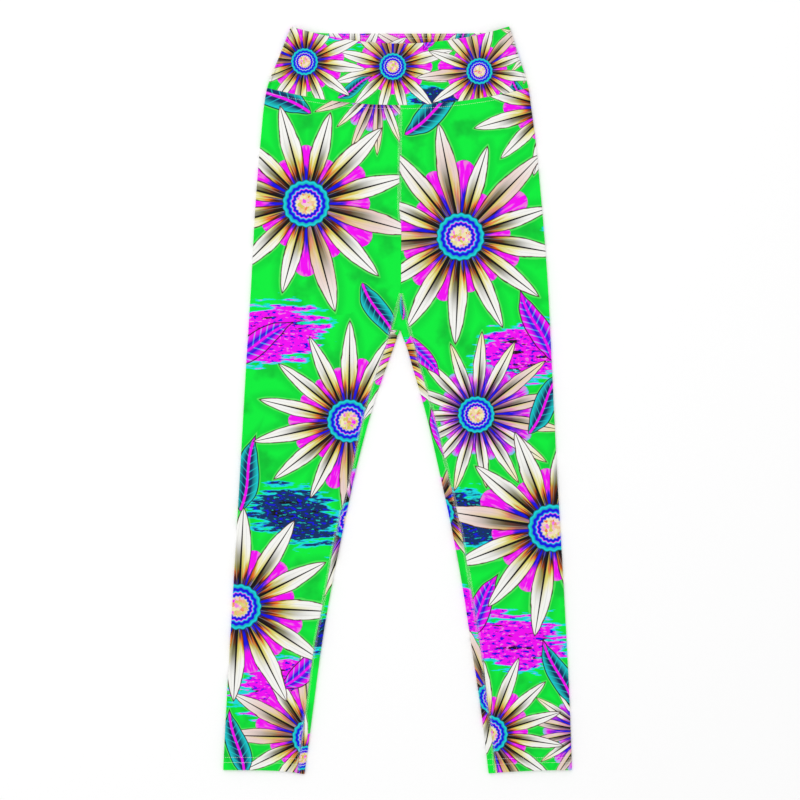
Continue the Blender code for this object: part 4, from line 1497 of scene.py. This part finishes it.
def blossom(bench, given, front_row, back_row):
    """Large blossom: pale pointed petals over broad bright ones, and a ringed centre with a wavy edge."""
    x, y, tone = bench.parts(given["Place"])
    radius = bench.length(x, y)
    angle = bench.math("ARCTAN2", y, x) * (0.5 / np.pi) + 0.5
    petals = bench.math("ROUND", tone * 5 + 11.4)
    shape = {"Angle": angle, "Petals": petals, "Tone": tone}
    front = bench.group(front_row, {**shape, "Radius": radius, "Turn": 0.0, "Unevenness": 0.2})
    wide = radius * BACK_PETAL_SHORTER
    back = bench.group(back_row, {**shape, "Radius": wide, "Turn": 0.5, "Unevenness": 0.4})
    cool = bench.step(tone, 0.6, 0.65)
    core = bench.math("COSINE", angle * (2 * np.pi * SCALLOPS)) * 0.005 + radius
    colour = backing_colour(bench, back, cool)
    over = bench.step(front["Inside"], -0.003, 0.004)
    colour = bench.mix(over, colour, petal_colour(bench, front, cool))
    over = bench.step(core, CENTRE_RADIUS + 0.012, CENTRE_RADIUS)
    colour = bench.mix(over, colour, centre_colour(bench, given["Place"], core))
    near = bench.math("MAXIMUM", front["Inside"], back["Inside"])
    near = bench.math("MAXIMUM", near, CENTRE_RADIUS - core)
    return {"Colour": colour, "Cover": bench.step(near, -0.003, 0.004), "Near": near}


def leaf(bench, given):
    """Pointed leaf with a bright rib, dark blue-green or violet."""
    x, y, tone = bench.parts(given["Place"])
    across = abs(y - bench.math("SINE", x * 2.6) * 0.22)
    width = bench.curve(x * 0.5 + 0.5, LEAF)
    inside = width - across
    share = across / bench.math("MAXIMUM", width, LEAST_WIDTH)
    violet = bench.step(tone, 0.45, 0.55)
    colour = bench.mix(violet, bench.ramp(share, "sea leaf"), bench.ramp(share, "dusk leaf"))
    slant = across * -1.4 + x * 5
    vein = bench.step(bench.math("PINGPONG", slant, 0.5), 0.11, 0.05)
    colour = bench.mix(vein * 0.5, colour, CYAN)
    colour = bench.mix(bench.step(across, 0.13, 0.07), colour, MAGENTA)
    colour = bench.mix(bench.step(inside, 0.12, 0.05), colour, BLACK)
    return {"Colour": colour, "Cover": bench.step(inside, -0.03, 0.03), "Near": inside * 0.16}


def brushed_patch(bench, given):
    """Patch of dry brush strokes with dark and pale specks, magenta or deep blue-green."""
    x, y, tone = bench.parts(given["Place"])
    strokes = bench.mottle(given["Cloth"], length=34, width=6, detail=4.0)
    ragged = strokes * 1.3 + (bench.length(x, y) - 0.65)
    specks = bench.mottle(given["Cloth"], length=8, width=3.2, detail=2.0)
    deep = bench.step(tone, 0.5, 0.6)
    colour = bench.mix(deep, MAGENTA, NAVY)
    colour = bench.mix(bench.step(strokes, 0.6, 0.64), colour, BLACK)
    colour = bench.mix(bench.step(specks, 0.61, 0.64), colour, BLUE)
    colour = bench.mix(bench.step(specks, 0.36, 0.32), colour, bench.mix(deep, PINK, TURQUOISE))
    colour = bench.mix(bench.step(ragged, 0.74, 0.84), colour, CYAN)
    return {"Colour": colour, "Cover": bench.step(ragged, 0.94, 0.88)}


def ground(bench, given):
    """Green ground that is darker in patches and near the motifs, with a thin bright edge along them."""
    clouds = bench.mottle(given["Cloth"], length=46, width=46, detail=3.0)
    colour = bench.mix(bench.step(clouds, 0.5, 0.78), GREEN, DEEP_GREEN)
    shade = bench.step(given["Near"], -0.11, -0.02)
    colour = bench.mix(shade * 0.45, colour, DEEP_GREEN)
    glow = bench.step(given["Near"], -0.018, -0.008)
    return {"Colour": bench.mix(glow * 0.5, colour, LIME)}


def knit_grain(bench, given):
    """Fine jersey: columns of V-shaped loops. Height is for a bump and for the painted shade in the hollows,
    and Fleck is a soft unevenness.
    """
    x, y, _ = bench.parts(given["Cloth"])
    wale = bench.math("PINGPONG", x / (WALE / 2), 1.0)
    course = wale * 0.6 + y / COURSE
    loop = bench.math("SINE", bench.math("PINGPONG", course, 0.5) * np.pi)
    rib = bench.math("SINE", wale * np.pi)
    fleck = bench.mottle(given["Cloth"], length=1.1, width=1.1, detail=3.0)
    return {"Height": loop * rib, "Fleck": fleck}


def print_groups():
    """The node groups that the finishes share."""
    rows = [
        new_group(name, PETAL_INPUTS, petal_row, profile)
        for name, profile in (("front petals", FRONT_PETAL), ("back petals", BACK_PETAL))
    ]
    return {
        "blossom": new_group("large blossom", ("Place",), blossom, *rows),
        "leaf": new_group("leaf", ("Place",), leaf),
        "patch": new_group("brushed patch", ("Place", "Cloth"), brushed_patch),
        "ground": new_group("green ground", ("Cloth", "Near"), ground),
        "grain": new_group("knit grain", ("Cloth",), knit_grain),
    }


# Finishes ------------------------------------------------------------------------------------

SHEEN_ROUGHNESS = 0.45
SPECULAR = 0.12
GRAIN_DEPTH = 0.12
TWIST_SCALE = 1100.0
TWIST_DEPTH = 0.05


def new_material(name, roughness, sheen):
    material = bpy.data.materials.new(name)
    material.use_nodes = True
    inputs = material.node_tree.nodes["Principled BSDF"].inputs
    inputs["Roughness"].default_value = roughness
    inputs["Sheen Weight"].default_value = sheen
    inputs["Sheen Roughness"].default_value = SHEEN_ROUGHNESS
    inputs["Specular IOR Level"].default_value = SPECULAR
    return material, Bench(material.node_tree), inputs


def attribute(bench, name):
    return bench.signal("ShaderNodeAttribute", {}, "Vector", attribute_name=name)


def add_bump(bench, inputs, height, strength, depth):
    bump = {"Height": height, "Strength": strength, "Distance": depth * MM}
    bench.wire(bench.signal("ShaderNodeBump", bump), inputs["Normal"])


def grain_on(bench, inputs, cloth, colour, groups):
    """Lays the knit's grain over a colour as painted shade in its hollows, and gives the surface its bump and
    uneven gloss.
    """
    grain = bench.group(groups["grain"], {"Cloth": cloth})
    # Painted shade: the colour darkens a little towards black in the low parts of the knit's loops
    painted_hollow_shade = (1 - grain["Height"]) * 0.06
    bench.wire(bench.mix(painted_hollow_shade, colour, BLACK), inputs["Base Color"])
    bench.wire(grain["Fleck"] * 0.22 + 0.58, inputs["Roughness"])
    add_bump(bench, inputs, grain["Height"], strength=0.35, depth=GRAIN_DEPTH)


def printed_knit(name, groups):
    """The printed face of the knit, with its motifs in layers over the green ground."""
    material, bench, inputs = new_material(name, roughness=0.7, sheen=0.04)
    cloth = attribute(bench, "flat_cloth")
    patch = bench.group(groups["patch"], {"Place": attribute(bench, "brushed_patches"), "Cloth": cloth})
    low, leaves, high = [
        bench.group(groups[motif], {"Place": attribute(bench, layer)})
        for motif, layer in (("blossom", "low_blossoms"), ("leaf", "leaves"), ("blossom", "high_blossoms"))
    ]
    near = bench.math("MAXIMUM", bench.math("MAXIMUM", low["Near"], high["Near"]), leaves["Near"])
    colour = bench.group(groups["ground"], {"Cloth": cloth, "Near": near})["Colour"]
    for layer in (patch, low, leaves, high):
        colour = bench.mix(layer["Cover"], colour, layer["Colour"])
    grain_on(bench, inputs, cloth, colour, groups)
    return material


def knit_reverse(groups):
    """The unprinted back of the knit, where a little of the ground's green has come through."""
    material, bench, inputs = new_material("knit_reverse", roughness=0.8, sheen=0.06)
    cloth = attribute(bench, "flat_cloth")
    tinge = bench.mottle(cloth, length=30, width=30, detail=2.0)
    grain_on(bench, inputs, cloth, bench.mix(tinge * 0.16, WHITE, GREEN), groups)
    return material


def sewing_thread():
    """Pale polyester thread with a fine twist."""
    material, bench, inputs = new_material("sewing_thread", roughness=0.5, sheen=0.06)
    where = bench.signal("ShaderNodeTexCoord", {}, "Object")
    waves = {"Vector": where, "Scale": TWIST_SCALE, "Distortion": 1.5}
    twist = bench.signal("ShaderNodeTexWave", waves, "Fac", bands_direction="DIAGONAL")
    bench.wire(bench.mix(twist * 0.25, WHITE, GREY), inputs["Base Color"])
    add_bump(bench, inputs, twist, strength=0.4, depth=TWIST_DEPTH)
    return material


# Stage ---------------------------------------------------------------------------------------

PIXEL = 1.27
PICTURE_PIXELS = 800
PICTURE = PICTURE_PIXELS * PIXEL
CENTRE = (3.175, 0.635)
LENS = 100.0
SENSOR = 36.0
CLOTH_TOP = 4.3
FLOOR_SIZE = 4000.0
FLOOR_Z = -0.1
STUDIO_LIGHT = 0.88
SOFTBOX_POWER = 16
SOFTBOX_SIZE = 2.0
SOFTBOX_AT = (-0.9, 0.9, 2.4)
SOFTBOX_TURN = (-20, -20, 0)


def make_stage():
    floor_material, _, inputs = new_material("pale_floor", roughness=0.9, sheen=0.0)
    inputs["Base Color"].default_value = dye(252, 252, 252)
    corners = [(x * FLOOR_SIZE, y * FLOOR_SIZE, FLOOR_Z) for x, y in ((-1, -1), (1, -1), (1, 1), (-1, 1))]
    floor = new_piece("floor", corners, [(0, 1, 2, 3)], [floor_material])
    world = bpy.data.worlds.new("studio")
    world.use_nodes = True
    background = world.node_tree.nodes["Background"].inputs
    background["Color"].default_value = (1, 1, 1, 1)
    background["Strength"].default_value = STUDIO_LIGHT
    bpy.context.scene.world = world
    light = bpy.data.lights.new("softbox", "AREA")
    light.shape = "RECTANGLE"
    light.size = light.size_y = SOFTBOX_SIZE
    light.energy = SOFTBOX_POWER
    lamp = bpy.data.objects.new("softbox", light)
    lamp.location = SOFTBOX_AT
    lamp.rotation_euler = np.radians(SOFTBOX_TURN)
    bpy.context.scene.collection.objects.link(lamp)
    bpy.context.scene.view_settings.view_transform = "Standard"


def make_camera():
    data = bpy.data.cameras.new("camera")
    data.lens, data.sensor_width = LENS, SENSOR
    camera = bpy.data.objects.new("camera", data)
    distance = PICTURE * LENS / SENSOR
    camera.location = (CENTRE[0] * MM, CENTRE[1] * MM, (distance + CLOTH_TOP) * MM)
    bpy.context.scene.collection.objects.link(camera)
    bpy.context.scene.camera = camera


# Dressing ------------------------------------------------------------------------------------


def place_piece(piece, node):
    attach(piece, "root")
    if node:
        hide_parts(node)


def dress():
    groups = print_groups()
    reverse, thread = knit_reverse(groups), sewing_thread()
    legs = [printed_knit("printed_knit_legs", groups), reverse]
    band = [printed_knit("printed_knit_band", groups), reverse]
    for leg, layers in ((RIGHT, RIGHT_LEG_PRINT), (LEFT, LEFT_LEG_PRINT)):
        cloth = make_leg(leg, layers, legs)
        sewing = [seam_threads(leg, thread), leg_stitches(leg, thread)]
        place_piece(cloth, leg["name"])
        for piece in sewing:
            place_piece(piece, None)
    gusset = make_gusset(GUSSET_PRINT, legs)
    place_piece(gusset, "gusset")
    front = make_band(FRONT_BAND, SEAM_DIP_POWER, FRONT_BAND_PRINT, band)
    place_piece(front, "waistband_front")
    back = make_band(BACK_BAND, BACK_TOP_DIP_POWER, BACK_BAND_PRINT, band)
    place_piece(back, "waistband_back")
    facing = make_facing(BACK_BAND_PRINT, band)
    edge_sewing = top_edge_stitches(thread)
    place_piece(facing, "waistband_facing")
    place_piece(edge_sewing, None)


make_camera()
make_stage()
dress()
